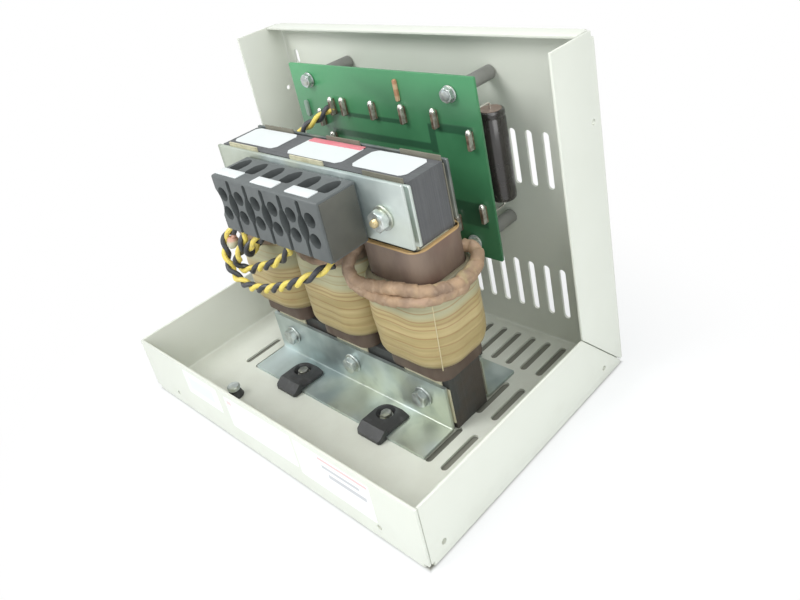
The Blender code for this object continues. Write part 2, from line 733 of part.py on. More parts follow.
def make_strips():
    """Insulating strips between the core and the clamping sheets, each with a tab at every limb."""
    lower_top = SEAT_Z + BRACKET_FLANGE_HEIGHT
    upper_top = UPPER_BOLT_Z + CLAMP_PLATE_RISE + CLAMP_PLATE_HEIGHT / 2
    lower_holes = [circle((limb_x(k), LOWER_BOLT_Z), BOLT_BORE) for k in LIMB_SIDES.values()]
    upper_holes = [circle((side * UPPER_BOLT_X, UPPER_BOLT_Z), BOLT_BORE) for side in (-1, 1)]
    levels = {
        "lower": (SEAT_Z + CLAMP_BEND + CLAMP_SHEET, lower_top, lower_top + LOWER_TAB_STAND, 0.0, lower_holes),
        "upper": (UPPER_YOKE_Z, upper_top, upper_top + UPPER_TAB_STAND, UPPER_TAB_SHIFT, upper_holes),
    }
    for level, (bottom, shoulder, top, shift, holes) in levels.items():
        shoulder -= STRIP_SHOULDER_DROP
        outline = [(-CORE_HALF_WIDTH, bottom), (CORE_HALF_WIDTH, bottom), (CORE_HALF_WIDTH, shoulder)]
        for k in (1, 0, -1):
            right = limb_x(k) + shift + STRIP_TAB_WIDTH / 2
            left = limb_x(k) + shift - STRIP_TAB_WIDTH / 2
            outline.extend([(right, shoulder), (right, top), (left, top), (left, shoulder)])
        outline.append((-CORE_HALF_WIDTH, shoulder))
        for where, side in (("front", -1), ("rear", 1)):
            plane = upright(REACTOR_Y + side * STRIP_CENTRE)
            flat_piece(f"strip_{level}_{where}", outline, STRIP, plane, STRIP_PAPER, holes)


def make_bracket(name, side):
    """One folded foot bracket, clamped to the lower yoke."""
    half = CORE_HALF_WIDTH - BRACKET_END_INSET
    fold_y = REACTOR_Y + side * CLAMP_INNER
    edge_y = fold_y + side * FOOT_DEPTH
    top = SEAT_Z + BRACKET_FLANGE_HEIGHT
    foot = [(-half, edge_y, SEAT_Z), (half, edge_y, SEAT_Z), (half, fold_y, SEAT_Z), (-half, fold_y, SEAT_Z)]
    flange = [(-half, fold_y, SEAT_Z), (half, fold_y, SEAT_Z), (half, fold_y, top), (-half, fold_y, top)]
    inside = (0.0, edge_y, top)
    bracket = folded_sheet(name, [foot, flange], inside, CLAMP_SHEET, CLAMP_BEND, ZINC)
    yoke_bolts = [(limb_x(k), fold_y, LOWER_BOLT_Z) for k in LIMB_SIDES.values()]
    join(bracket, bores(name + "_yoke_bores", yoke_bolts, (0, 1, 0), BOLT_BORE))
    toe_bolts = [(x, REACTOR_Y + side * toe_bolt_offset(), SEAT_Z) for x in (-TOE_X, TOE_X)]
    join(bracket, bores(name + "_toe_bores", toe_bolts, (0, 0, 1), TOE_BORE))


def make_clamp_plates():
    """The plates on both sides of the upper yoke, and the plate in front that carries the terminal block."""
    half = CORE_HALF_WIDTH + CLAMP_OVERHANG
    middle = UPPER_BOLT_Z + CLAMP_PLATE_RISE
    holes = [circle((side * UPPER_BOLT_X, UPPER_BOLT_Z), BOLT_BORE) for side in (-1, 1)]
    outline = rectangle(-half, half, middle - CLAMP_PLATE_HEIGHT / 2, middle + CLAMP_PLATE_HEIGHT / 2)
    for where, side in (("front", -1), ("rear", 1)):
        plane = upright(REACTOR_Y + side * (CLAMP_INNER + CLAMP_SHEET / 2))
        flat_piece("clamp_plate_" + where, outline, CLAMP_SHEET, plane, ZINC, holes)
    middle = UPPER_BOLT_Z + TERMINAL_PLATE_RISE
    outline = rectangle(
        TERMINAL_PLATE_LEFT,
        TERMINAL_PLATE_RIGHT,
        middle - TERMINAL_PLATE_HEIGHT / 2,
        middle + TERMINAL_PLATE_HEIGHT / 2,
    )
    plane = upright((PLATE_FRONT_Y + PLATE_REAR_Y) / 2)
    flat_piece("terminal_plate", outline, CLAMP_SHEET, plane, ZINC, holes)


def make_yoke_fasteners():
    """Bolts through both yokes, with spacers and nuts."""
    washer = (WASHER_RADIUS, WASHER_HEIGHT)
    nut_stack = WASHER_HEIGHT + NUT_HEIGHT + THREAD_PROUD
    lower_length = 2 * CLAMP_OUTER + 2 * GAP + nut_stack
    upper_length = CLAMP_REAR_Y - PLATE_FRONT_Y + 2 * GAP + nut_stack
    head = (BOLT_HEAD_ACROSS_FLATS, BOLT_HEAD_HEIGHT)
    lower_bolt = bolt_mesh("lower_bolt", BOLT_RADIUS, lower_length, *washer, *head)
    upper_bolt = bolt_mesh("upper_bolt", BOLT_RADIUS, upper_length, *washer, *head)
    nut = nut_mesh("yoke_nut", BOLT_BORE, *washer, BOLT_HEAD_ACROSS_FLATS, NUT_HEIGHT)
    ring = [
        (BOLT_BORE, PLATE_SPACER / 2),
        (PLATE_SPACER_RADIUS, PLATE_SPACER / 2),
        (PLATE_SPACER_RADIUS, -PLATE_SPACER / 2),
        (BOLT_BORE, -PLATE_SPACER / 2),
    ]
    spacer = turned_mesh("plate_spacer", ring, closed=True)
    to_front = (0, -1, 0)
    to_rear = (0, 1, 0)
    for name, k in LIMB_SIDES.items():
        head_seat = (limb_x(k), CLAMP_FRONT_Y - GAP, LOWER_BOLT_Z)
        nut_seat = (limb_x(k), CLAMP_REAR_Y + GAP, LOWER_BOLT_Z)
        place("lower_bolt_" + name, lower_bolt, ZINC, frame=pointing(head_seat, to_front))
        place("lower_nut_" + name, nut, ZINC, frame=pointing(nut_seat, to_rear))
        if k == 0:
            continue
        head_seat = (k * UPPER_BOLT_X, CLAMP_REAR_Y + GAP, UPPER_BOLT_Z)
        nut_seat = (k * UPPER_BOLT_X, PLATE_FRONT_Y - GAP, UPPER_BOLT_Z)
        between = (k * UPPER_BOLT_X, (CLAMP_FRONT_Y + PLATE_REAR_Y) / 2, UPPER_BOLT_Z)
        place("upper_bolt_" + name, upper_bolt, ZINC, frame=pointing(head_seat, to_rear))
        place("upper_nut_" + name, nut, ZINC, frame=pointing(nut_seat, to_front))
        place("plate_spacer_" + name, spacer, ZINC, frame=pointing(between, to_front))


def make_toe_clamps():
    """Stepped toe clamps on the feet, with the bolts that pull them down."""
    start = CLAMP_INNER + CLAMP_BEND + TOE_FROM_BEND
    edge = CLAMP_INNER + FOOT_DEPTH + GAP
    nose = edge + TOE_NOSE
    profile = [
        (start, TOE_UNDER_Z),
        (edge, TOE_UNDER_Z),
        (edge, SEAT_Z),
        (nose, SEAT_Z),
        (nose, SEAT_Z + TOE_NOSE_HEIGHT),
        (nose - TOE_THICKNESS, TOE_TOP_Z),
        (start, TOE_TOP_Z),
    ]
    shank = TOE_TOP_Z + GAP
    head = (TOE_HEAD_ACROSS_FLATS, TOE_HEAD_HEIGHT)
    bolt = bolt_mesh("toe_bolt", TOE_BOLT_RADIUS, shank, TOE_WASHER_RADIUS, TOE_WASHER_HEIGHT, *head)
    for depth_name, side in (("front", -1), ("rear", 1)):
        for side_name, x in (("left", -TOE_X), ("right", TOE_X)):
            name = f"{depth_name}_{side_name}"
            frame = Matrix(((0, 0, side, x), (side, 0, 0, REACTOR_Y), (0, 1, 0, 0), (0, 0, 0, 1)))
            clamp = flat_piece("toe_clamp_" + name, profile, TOE_WIDTH, frame, TOE_BLACK)
            seat = (x, REACTOR_Y + side * toe_bolt_offset(), TOE_TOP_Z)
            join(clamp, bores(f"toe_bore_{name}", [seat], (0, 0, 1), TOE_BORE, depth=4 * TOE_THICKNESS))
            above = (seat[0], seat[1], seat[2] + GAP)
            place("toe_bolt_" + name, bolt, ZINC, frame=pointing(above, (0, 0, 1)))


def make_terminal_block():
    """The moulded block: poles with waisted grooves between them, wire entries in front and screw wells on top."""
    half = POLES * POLE_PITCH / 2
    left = BLOCK_CENTRE_X - half
    block = boxes(
        "terminal_block",
        [((left, BLOCK_FRONT_Y, BLOCK_BOTTOM_Z), (left + 2 * half, BLOCK_BACK_Y, BLOCK_TOP_Z))],
        BLOCK_PLASTIC,
        edge=BLOCK_EDGE,
    )
    joints = [left + POLE_PITCH * k for k in range(POLES)]
    grooves = []
    for x in joints[1:]:
        low = (x - POLE_GROOVE_WIDTH / 2, BLOCK_FRONT_Y - THROUGH, BLOCK_BOTTOM_Z - THROUGH)
        high = (x + POLE_GROOVE_WIDTH / 2, BLOCK_FRONT_Y + POLE_GROOVE_DEPTH, BLOCK_TOP_Z - POLE_GROOVE_TOP)
        grooves.append((low, high))
    join(block, boxes("pole_grooves", grooves, None, cutters))
    middle_z = (BLOCK_BOTTOM_Z + BLOCK_TOP_Z) / 2 + ENTRY_ROW_RISE
    waists = slots(
        "pole_waists",
        [(x, BLOCK_FRONT_Y, middle_z) for x in joints],
        (0, 0, 1),
        (0, 1, 0),
        POLE_WAIST_HEIGHT,
        POLE_WAIST_WIDTH,
    )
    join(block, waists)
    centres = [left + POLE_PITCH * (k + 0.5) for k in range(POLES)]
    rows = (middle_z - ENTRY_ROW_PITCH / 2, middle_z + ENTRY_ROW_PITCH / 2)
    entry_places = [(x, BLOCK_FRONT_Y, z) for x in centres for z in rows]
    join(block, bores("wire_entries", entry_places, (0, 1, 0), ENTRY_RADIUS, depth=2 * ENTRY_DEPTH))
    well_y = BLOCK_BACK_Y - SCREW_WELL_FROM_BACK
    well_places = [(x, well_y, BLOCK_TOP_Z) for x in centres]
    wells = slots(
        "screw_wells",
        well_places,
        (0, 1, 0),
        (0, 0, 1),
        SCREW_WELL_LENGTH,
        SCREW_WELL_WIDTH,
        depth=2 * SCREW_WELL_DEPTH,
    )
    join(block, wells)


def board_post_places():
    """Places of the four posts, in X and Z."""
    bottom = BOARD_TOP_Z - BOARD_HEIGHT
    heights = (bottom + POST_FROM_BOARD_BOTTOM, BOARD_TOP_Z - POST_FROM_BOARD_TOP)
    return [(BOARD_CENTRE_X + side * POST_SPREAD / 2, z) for side in (-1, 1) for z in heights]


def make_board():
    """The circuit board with its blade terminals soldered on, its posts and their screws."""
    bottom = BOARD_TOP_Z - BOARD_HEIGHT
    holes = [circle(place_xz, BOARD_BORE) for place_xz in board_post_places()]
    middle_y = (BOARD_FRONT_Y + BOARD_REAR_Y) / 2
    outline = rectangle(BOARD_LEFT, BOARD_RIGHT, bottom, BOARD_TOP_Z)
    board = flat_piece("circuit_board", outline, BOARD_THICKNESS, upright(middle_y), BOARD_GREEN, holes)
    blades = []
    for from_left, from_top in BLADE_PLACES:
        x = BOARD_LEFT + from_left
        top = BOARD_TOP_Z - from_top
        low = (x - BLADE_WIDTH / 2, BOARD_FRONT_Y - BLADE_STAND, top - BLADE_HEIGHT)
        high = (x + BLADE_WIDTH / 2, middle_y, top)
        blades.append((low, high))
    join(board, boxes("board_blades", blades, None, cutters), "UNION")
    post = turned_mesh(
        "board_post",
        [
            (0.0, -POST_BORE_DEPTH),
            (BOARD_BORE, -POST_BORE_DEPTH),
            (BOARD_BORE, 0.0),
            (POST_RADIUS, 0.0),
            (POST_RADIUS, -POST_LENGTH),
            (0.0, -POST_LENGTH),
        ],
    )
    head = (BOARD_HEAD_ACROSS_FLATS, BOARD_HEAD_HEIGHT)
    screw = bolt_mesh(
        "board_screw", BOARD_SCREW_RADIUS, BOARD_SCREW_REACH, BOARD_WASHER_RADIUS, BOARD_WASHER_HEIGHT, *head
    )
    names = ("lower_left", "upper_left", "lower_right", "upper_right")
    for name, (x, z) in zip(names, board_post_places()):
        to_front = (0, -1, 0)
        place("board_post_" + name, post, POST_GREY, frame=pointing((x, BOARD_REAR_Y + GAP, z), to_front))
        place("board_screw_" + name, screw, ZINC, frame=pointing((x, BOARD_FRONT_Y - GAP, z), to_front))


def smooth_path(points, spacing):
    """Even points along a smooth curve through the chosen points, with a short straight run at each end."""
    chosen = [Vector(p) for p in points]
    ends = [2 * chosen[0] - chosen[1], *chosen, 2 * chosen[-1] - chosen[-2]]
    dense = []
    steps = 24
    for before, start, end, after in zip(ends, ends[1:], ends[2:], ends[3:]):
        for k in range(steps):
            t = k / steps
            pull = (2 * before - 5 * start + 4 * end - after) * t * t
            bend = (3 * start - before - 3 * end + after) * t * t * t
            dense.append((2 * start + (end - before) * t + pull + bend) / 2)
    dense.append(chosen[-1])
    lengths = [0.0]
    for start, end in zip(dense, dense[1:]):
        lengths.append(lengths[-1] + (end - start).length)
    whole = lengths[-1]
    straight = STRAIGHT_END * spacing
    count = max(2, round((whole - 2 * straight) / spacing))
    marks = [straight + (whole - 2 * straight) * k / count for k in range(count + 1)]
    path = []
    j = 0
    for target in (0.0, *marks, whole):
        while j < len(dense) - 2 and lengths[j + 1] < target:
            j += 1
        share = (target - lengths[j]) / (lengths[j + 1] - lengths[j])
        path.append(dense[j].lerp(dense[j + 1], min(share, 1.0)))
    return path


def tube(name, path, radius, material, collection=parts):
    """A round tube along a path, with filled ends."""
    curve = bpy.data.curves.new(name, "CURVE")
    curve.dimensions = "3D"
    curve.bevel_depth = radius
    curve.bevel_resolution = 2
    curve.use_fill_caps = True
    spline = curve.splines.new("POLY")
    spline.points.add(len(path) - 1)
    for point, place_xyz in zip(spline.points, path):
        point.co = (*place_xyz, 1.0)
    piece = bpy.data.objects.new(name, curve)
    if material:
        curve.materials.append(material)
    collection.objects.link(piece)
    return piece


def make_capacitor():
    """The capacitor behind the board: a rimmed can on two bent wires that end at the board."""
    x = BOARD_RIGHT - CAPACITOR_FROM_BOARD_RIGHT
    y = BOARD_REAR_Y + CAPACITOR_SPACE + CAPACITOR_RADIUS
    top = BOARD_TOP_Z - CAPACITOR_FROM_BOARD_TOP
    waist = CAPACITOR_RADIUS - CAPACITOR_RIM
    rim = 3 * CAPACITOR_RIM
    length = CAPACITOR_LENGTH
    can = turned_mesh(
        "capacitor",
        [
            (0.0, -CAPACITOR_RIM),
            (waist - CAPACITOR_RIM, -CAPACITOR_RIM),
            (waist, 0.0),
            (CAPACITOR_RADIUS, -CAPACITOR_RIM),
            (CAPACITOR_RADIUS, -rim),
            (waist, -rim - CAPACITOR_RIM),
            (CAPACITOR_RADIUS, -rim - 2 * CAPACITOR_RIM),
            (CAPACITOR_RADIUS, -length + CAPACITOR_RIM),
            (waist, -length),
            (0.0, -length),
        ],
    )
    can.transform(Matrix.Translation((x, y, top)))
    reach = BOARD_REAR_Y + GAP
    above = top + CAPACITOR_LEAD_RISE
    below = top - length - CAPACITOR_LEAD_RISE
    path = [(x, reach, above), (x, y, above), (x, y, below), (x, reach, below)]
    wire = tube("capacitor_wire", path, CAPACITOR_LEAD_RADIUS, None, bpy.context.scene.collection)
    place("capacitor", united("capacitor", can, settled(wire)), CAPACITOR_BLACK)


def make_earth_stud():
    """The tapered earth stud with its flat head, on the floor behind the front wall."""
    top = EARTH_STUD_HEIGHT + EARTH_HEAD_HEIGHT
    stud = turned_mesh(
        "earth_stud",
        [
            (0.0, top),
            (EARTH_HEAD_RADIUS - GAP, top),
            (EARTH_HEAD_RADIUS, top - GAP),
            (EARTH_HEAD_RADIUS, EARTH_STUD_HEIGHT),
            (EARTH_STUD_NECK_RADIUS, EARTH_STUD_HEIGHT),
            (EARTH_STUD_BASE_RADIUS, 0.0),
            (0.0, 0.0),
        ],
    )
    spot = (EARTH_STUD_X, FRONT_Y + EARTH_STUD_FROM_FRONT, SEAT_Z)
    place("earth_stud", stud, TOE_BLACK, frame=Matrix.Translation(spot))


def lead(name, points, radius, material, spacing=LEAD_POINT_SPACING):
    """A lead along its real route, as a plain tube with its points some diameters apart."""
    tube(name, smooth_path(points, spacing * 2 * radius), radius, material)


def make_leads():
    """The twisted pairs under the terminal block and at the board, and the taped lead round the right winding."""
    under_block = BLOCK_BOTTOM_Z - GAP
    on_winding = WINDING_TOP_Z + GAP + PAIR_RADIUS
    lead(
        "pair_front",
        [
            (-0.0340, -0.0360, under_block),
            (-0.0341, -0.0361, 0.1182),
            (-0.0395, -0.0400, 0.1140),
            (-0.0475, -0.0440, 0.1090),
            (-0.0503, -0.0450, 0.1000),
            (-0.0470, -0.0450, 0.0900),
            (-0.0384, -0.0450, 0.0867),
            (-0.0274, -0.0450, 0.0865),
            (-0.0080, -0.0450, 0.0909),
            (0.0055, -0.0425, 0.0961),
            (0.0190, -0.0400, 0.1023),
            (0.0221, -0.0320, 0.1042),
            (0.0250, -0.0262, 0.1056),
            (0.0270, -0.0238, 0.1060),
        ],
        PAIR_RADIUS,
        PAIR_YELLOW,
    )
    lead(
        "pair_middle",
        [
            (-0.0640, -0.0195, on_winding),
            (-0.0625, -0.0265, 0.0998),
            (-0.0560, -0.0350, 0.0960),
            (-0.0430, -0.0385, 0.0920),
            (-0.0220, -0.0380, 0.0976),
            (-0.0080, -0.0375, 0.1060),
            (0.0060, -0.0360, 0.1110),
            (0.0140, -0.0338, 0.1145),
            (0.0159, -0.0331, 0.1180),
            (0.0160, -0.0330, under_block),
        ],
        PAIR_RADIUS,
        PAIR_YELLOW,
    )
    lead(
        "pair_hook",
        [
            (-0.0480, -0.0200, on_winding),
            (-0.0440, -0.0270, 0.1008),
            (-0.0375, -0.0340, 0.1040),
            (-0.0335, -0.0370, 0.1090),
            (-0.0295, -0.0370, 0.1140),
            (-0.0215, -0.0345, 0.1165),
            (-0.0162, -0.0321, 0.1182),
            (-0.0160, -0.0320, under_block),
        ],
        PAIR_RADIUS,
        PAIR_YELLOW,
    )
    former_rear = REACTOR_Y + FORMER_HALF_Y
    room = BOARD_FRONT_Y - former_rear
    lead(
        "pair_board",
        [
            (-0.0352, BOARD_FRONT_Y - GAP, 0.1600),
            (-0.0353, BOARD_FRONT_Y - 0.0040, 0.1598),
            (-0.0372, former_rear + 0.668 * room, 0.1575),
            (-0.0425, former_rear + 0.428 * room, 0.1520),
            (-0.0465, former_rear + 0.0075, 0.1430),
            (-0.0470, former_rear + 0.0055, 0.1300),
            (-0.0500, former_rear + 0.0047, 0.1140),
            (-0.0544, former_rear + 0.0037, 0.1025),
            (-0.0545, former_rear + 0.0037, WINDING_TOP_Z + GAP),
        ],
        PAIR_RADIUS,
        PAIR_YELLOW,
    )
    right = LIMB_PITCH
    corner_x = WINDING_HALF_X - WINDING_CORNER
    corner_y = WINDING_HALF_Y - WINDING_CORNER
    proud = GAP + TAPED_CHORD_SAG + TAPED_LEAD_RADIUS
    front = REACTOR_Y - WINDING_HALF_Y - proud
    side = right + WINDING_HALF_X + proud
    reach = (WINDING_CORNER + proud) * math.sqrt(0.5)
    lead(
        "lead_taped",
        [
            (FORMER_HALF_X + GAP, -0.0030, 0.1105),
            (0.0264, -0.0030, 0.1105),
            (0.0298, -0.0068, 0.1103),
            (0.0306, -0.0130, 0.1093),
            (0.0312, -0.0190, 0.1066),
            (0.0332, -0.0238, 0.1010),
            (0.0395, front, 0.0963),
            (right - corner_x, front, 0.0948),
            (right, front, 0.0950),
            (right + corner_x, front, 0.0965),
            (right + corner_x + reach, REACTOR_Y - corner_y - reach, 0.0970),
            (side, REACTOR_Y - corner_y, 0.0945),
            (side, REACTOR_Y + 0.0005, 0.0950),
            (side, REACTOR_Y + corner_y + 0.0020, 0.0975),
            (side - 0.0008, REACTOR_Y + 0.0120, 0.1035),
            (side - 0.0035, REACTOR_Y + 0.0112, 0.1080),
            (right + FORMER_HALF_X + 0.0048, REACTOR_Y + 0.0090, 0.1100),
            (right + FORMER_HALF_X + GAP, REACTOR_Y + 0.0090, 0.1100),
        ],
        TAPED_LEAD_RADIUS,
        TAPE,
        TAPED_POINT_SPACING,
    )


make_chassis()
make_core()
for winding_name, limb in LIMB_SIDES.items():
    make_winding(winding_name, limb)
make_strips()
make_bracket("bracket_front", -1)
make_bracket("bracket_rear", 1)
make_clamp_plates()
make_yoke_fasteners()
make_toe_clamps()
make_terminal_block()
make_board()
make_capacitor()
make_earth_stud()
make_leads()
print("made", len(parts.objects), "pieces")
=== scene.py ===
# %% [markdown]
# A three-phase line reactor stands on an open, folded sheet-steel chassis.
# Three coils sit on a laminated core, two zinc plates clamp the upper yoke,
# and a terminal block and a circuit board take the wires. Every measured part
# comes in first, as a frame. The plain parts could simply be coloured, but
# strands, tape and washers need finer shapes, so each piece below is made
# anew where its measured part is.

import math

import bmesh
import bpy
import numpy as np
from mathutils import Euler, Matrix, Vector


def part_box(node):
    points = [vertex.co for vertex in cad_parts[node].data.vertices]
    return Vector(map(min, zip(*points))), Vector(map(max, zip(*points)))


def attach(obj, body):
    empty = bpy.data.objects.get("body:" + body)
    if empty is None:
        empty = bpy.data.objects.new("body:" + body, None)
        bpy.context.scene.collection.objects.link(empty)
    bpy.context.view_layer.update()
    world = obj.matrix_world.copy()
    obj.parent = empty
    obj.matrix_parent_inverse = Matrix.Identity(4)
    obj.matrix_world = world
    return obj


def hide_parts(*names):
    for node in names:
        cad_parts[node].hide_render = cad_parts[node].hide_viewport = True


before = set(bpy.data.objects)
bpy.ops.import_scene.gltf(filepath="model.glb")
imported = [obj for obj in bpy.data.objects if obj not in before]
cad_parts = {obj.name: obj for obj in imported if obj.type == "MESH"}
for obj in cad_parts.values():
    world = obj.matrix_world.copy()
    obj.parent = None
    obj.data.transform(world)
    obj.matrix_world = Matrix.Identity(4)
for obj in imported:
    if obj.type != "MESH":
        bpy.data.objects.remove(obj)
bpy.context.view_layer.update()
print("measured parts:", len(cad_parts))
MM = 0.001

# %% [markdown]
# The camera comes before the pieces, so that each one can be judged from the
# angle of the photograph. It looks down from the front right corner, with a
# slight roll. A small downward shift frames the picture, because tilting the
# camera for that would bend the upright edges.

# %% Camera
view = bpy.data.cameras.new("view")
view.lens = 34.24
view.sensor_width = 36.0
view.shift_y = -0.1163
camera = bpy.data.objects.new("view", view)
camera.location = (0.3222, -0.2272, 0.2993)
camera.rotation_euler = Euler(np.radians((63.918, 11.288, 43.775)), "XYZ")
bpy.context.collection.objects.link(camera)
bpy.context.scene.camera = camera
print("camera at", [round(c, 3) for c in camera.location])

# %% [markdown]
# Shader sums are easier to read as Python sums. This class holds one socket
# of a node tree. An operator on it adds the Math node that does the sum, so
# `1 - mask` works, and any other node comes from the one method `node`.


# %% A socket that can be used in sums
class Field:
    """One output socket. Sums written with it add Math nodes to its tree."""

    def __init__(self, tree, socket=None):
        self.tree = tree
        self.socket = socket

    def node(self, kind, settings=None, inputs=None, out=0):
        """Adds a node: first its settings, then the values or links of its sockets."""
        made = self.tree.nodes.new(kind)
        for key, value in (settings or {}).items():
            if key == "stops":
                ramp = made.color_ramp.elements
                while len(ramp) < len(value):
                    ramp.new(0.5)
                for stop, (place, colour) in zip(ramp, value):
                    stop.position = place
                    stop.color = (*colour, 1.0)
            else:
                setattr(made, key, value)
        for key, value in (inputs or {}).items():
            if isinstance(value, Field):
                self.tree.links.new(value.socket, made.inputs[key])
            else:
                made.inputs[key].default_value = value
        return Field(self.tree, made.outputs[out])

    def math(self, operation, *values):
        """A Math node on this socket and one or two more values."""
        pairs = dict(enumerate((self, *values)))
        return self.node("ShaderNodeMath", {"operation": operation}, pairs)

    def reflected(self, operation, value):
        """The same with the other value first."""
        return self.node("ShaderNodeMath", {"operation": operation}, {0: value, 1: self})

    def __add__(self, other):
        return self.math("ADD", other)

    __radd__ = __add__

    def __sub__(self, other):
        return self.math("SUBTRACT", other)

    def __rsub__(self, other):
        return self.reflected("SUBTRACT", other)

    def __mul__(self, other):
        return self.math("MULTIPLY", other)

    __rmul__ = __mul__

    def __truediv__(self, other):
        return self.math("DIVIDE", other)

    def __gt__(self, other):
        return self.math("GREATER_THAN", other)

    def __lt__(self, other):
        return self.math("LESS_THAN", other)

    def smooth(self, low, high):
        """Rises softly from 0 at low to 1 at high. It falls where high is the lower."""
        ends = {0: self, 1: low, 2: high, 3: 0.0, 4: 1.0}
        if high < low:
            ends = {0: self, 1: high, 2: low, 3: 1.0, 4: 0.0}
        return self.node("ShaderNodeMapRange", {"interpolation_type": "SMOOTHSTEP"}, ends)

    def axis(self, index):
        """One coordinate of a vector."""
        return self.node("ShaderNodeSeparateXYZ", None, {0: self}, index)

    def stretched(self, scale):
        """A vector with each coordinate times its own number."""
        return self.node("ShaderNodeVectorMath", {"operation": "MULTIPLY"}, {0: self, 1: scale})

    def noise(self, scale, detail=2.0, stretch=(1.0, 1.0, 1.0), rough=0.5):
        """Soft noise between 0 and 1, with so many lumps to the metre."""
        at = self if stretch == (1.0, 1.0, 1.0) else self.stretched(stretch)
        inputs = {"Vector": at, "Scale": scale, "Detail": detail, "Roughness": rough}
        return self.node("ShaderNodeTexNoise", None, inputs)

    def blend(self, first, second):
        """The first colour where this is 0, the second where it is 1."""
        inputs = {0: self}
        for key, colour in ((6, first), (7, second)):
            inputs[key] = colour if isinstance(colour, Field) else (*colour, 1.0)
        return self.node("ShaderNodeMix", {"data_type": "RGBA"}, inputs, 2)

    def inside(self, low, high, soft):
        """1 between two values, with soft edges."""
        return self.smooth(low - soft, low + soft) * self.smooth(high + soft, high - soft)


# %% [markdown]
# A finish is one material. It could be painted as an image, but a pattern
# worked out from the object's own coordinates needs no unwrapping and stays
# sharp from close by. What is the same all over is set on the shader's own
# sockets. Only what changes over the surface is linked, and the small relief
# of a surface goes through a Bump node.


# %% Start a finish, feed it and give it relief
class Finish:
    """A material under way, with its shader and the object's own coordinates."""

    def __init__(self, name, slot, roughness=0.5, **constants):
        self.material = bpy.data.materials.new(name)
        self.material.use_nodes = True
        self.tree = self.material.node_tree
        self.slot = slot
        self.shader = self.tree.nodes["Principled BSDF"]
        self.shader.inputs["Roughness"].default_value = roughness
        for key, value in constants.items():
            self.shader.inputs[key.replace("_", " ")].default_value = value
        self.at = Field(self.tree).node("ShaderNodeTexCoord", out="Object")
        self.x = self.at.axis(0)
        self.y = self.at.axis(1)
        self.z = self.at.axis(2)
        print("finish:", name)

    def feed(self, socket, value):
        """Links a value that changes over the surface to a socket of the shader."""
        self.tree.links.new(value.socket, self.shader.inputs[socket])

    def relief(self, height, depth, strength=1.0):
        """Raises the surface by height, where 1 stands for depth in metres."""
        bump = {"Height": height, "Distance": depth, "Strength": strength}
        self.feed("Normal", height.node("ShaderNodeBump", None, bump))


# %% [markdown]
# Many small parts are one colour with a little unevenness, as tin, tape or
# plated steel has. Each could have a tree of its own, but one recipe does for
# all of them: two colours, mixed by soft noise.


# %% Finishes of two colours
def two_tone(name, slot, roughness, lumps, first, second, ends=None, bumps=None, **constants):
    """Colour = first + share * (second - first). The share is noise, sharpened between two ends if they are given."""
    finish = Finish(name, slot, roughness, **constants)
    share = finish.at.noise(*lumps)
    if ends:
        share = share.smooth(*ends)
    finish.feed("Base Color", share.blend(first, second))
    if bumps:
        scale, detail, depth, strength = bumps
        finish.relief(finish.at.noise(scale, detail), depth, strength)
    return finish


# %% [markdown]
# The surfaces are worked out with numpy. Most pieces here are lofts: rings of
# points, one after the other, with quads between neighbouring rings and a
# flat face on each end. Tubes, turned pieces, plates and coils differ only in
# how their rings are placed, so one function makes the faces of them all.


# %% Lofts
def loft(rings, loop=False):
    """Quads join point j of ring i to point j of ring i + 1.

    A face closes each end, unless the rings run in a loop.
    """
    rows, sides = rings.shape[:2]
    i = np.arange(rows if loop else rows - 1)[:, None]
    j = np.arange(sides)[None, :]
    ahead = (i + 1) % rows * sides
    beside = (j + 1) % sides
    quads = np.stack([i * sides + j, i * sides + beside, ahead + beside, ahead + j], -1)
    faces = [quads.reshape(-1, 4)]
    if not loop:
        faces.append(np.arange(sides)[None, ::-1])
        faces.append((rows - 1) * sides + np.arange(sides)[None, :])
    return rings.reshape(-1, 3), faces


def unit(vectors):
    """Vectors brought to length one."""
    return vectors / np.linalg.norm(vectors, axis=-1, keepdims=True)


def grow(outline, by):
    """Moves each side of an anticlockwise outline outwards: a corner moves by 2 n / (n . n), where n = n1 + n2."""
    ahead = unit(np.roll(outline, -1, 0) - outline)
    normal = np.stack([ahead[:, 1], -ahead[:, 0]], 1)
    both = normal + np.roll(normal, 1, 0)
    return outline + by * 2 * both / (both**2).sum(1, keepdims=True)


def rounded(half_a, half_b, corner, steps=6):
    """A rectangle with corner arcs: centre of the arc plus corner * (cos t, sin t)."""
    turn = np.linspace(0, np.pi / 2, steps)[None, :] + np.arange(4)[:, None] * np.pi / 2
    a = np.array([1, -1, -1, 1])[:, None] * (half_a - corner) + corner * np.cos(turn)
    b = np.array([1, 1, -1, -1])[:, None] * (half_b - corner) + corner * np.sin(turn)
    return np.stack([a.ravel(), b.ravel()], 1)


def bar(outline, axis, start, end, edge=0.0002, ease=3):
    """An outline carried along an axis, with both ends eased by a quarter circle of radius edge."""
    t = np.linspace(0, np.pi / 2, ease)
    inset = np.concatenate([edge * (1 - np.sin(t)), edge * (1 - np.cos(t))])
    height = np.concatenate([start + edge * (1 - np.cos(t)), end - edge * (1 - np.sin(t))])
    rings = np.empty((len(inset), len(outline), 3))
    others = [k for k in range(3) if k != axis]
    for ring, by, level in zip(rings, inset, height):
        ring[:, others] = grow(outline, -by)
        ring[:, axis] = level
    return loft(rings)


def slab(low, high, axis=2, corner=0.0006, edge=0.0003, steps=4):
    """A block between two corners, with round upright edges and eased ends."""
    low, high = np.asarray(low, float), np.asarray(high, float)
    others = [k for k in range(3) if k != axis]
    half = (high - low)[others] / 2
    outline = rounded(*half, corner, steps) + (high + low)[others] / 2
    return bar(outline, axis, low[axis], high[axis], edge)


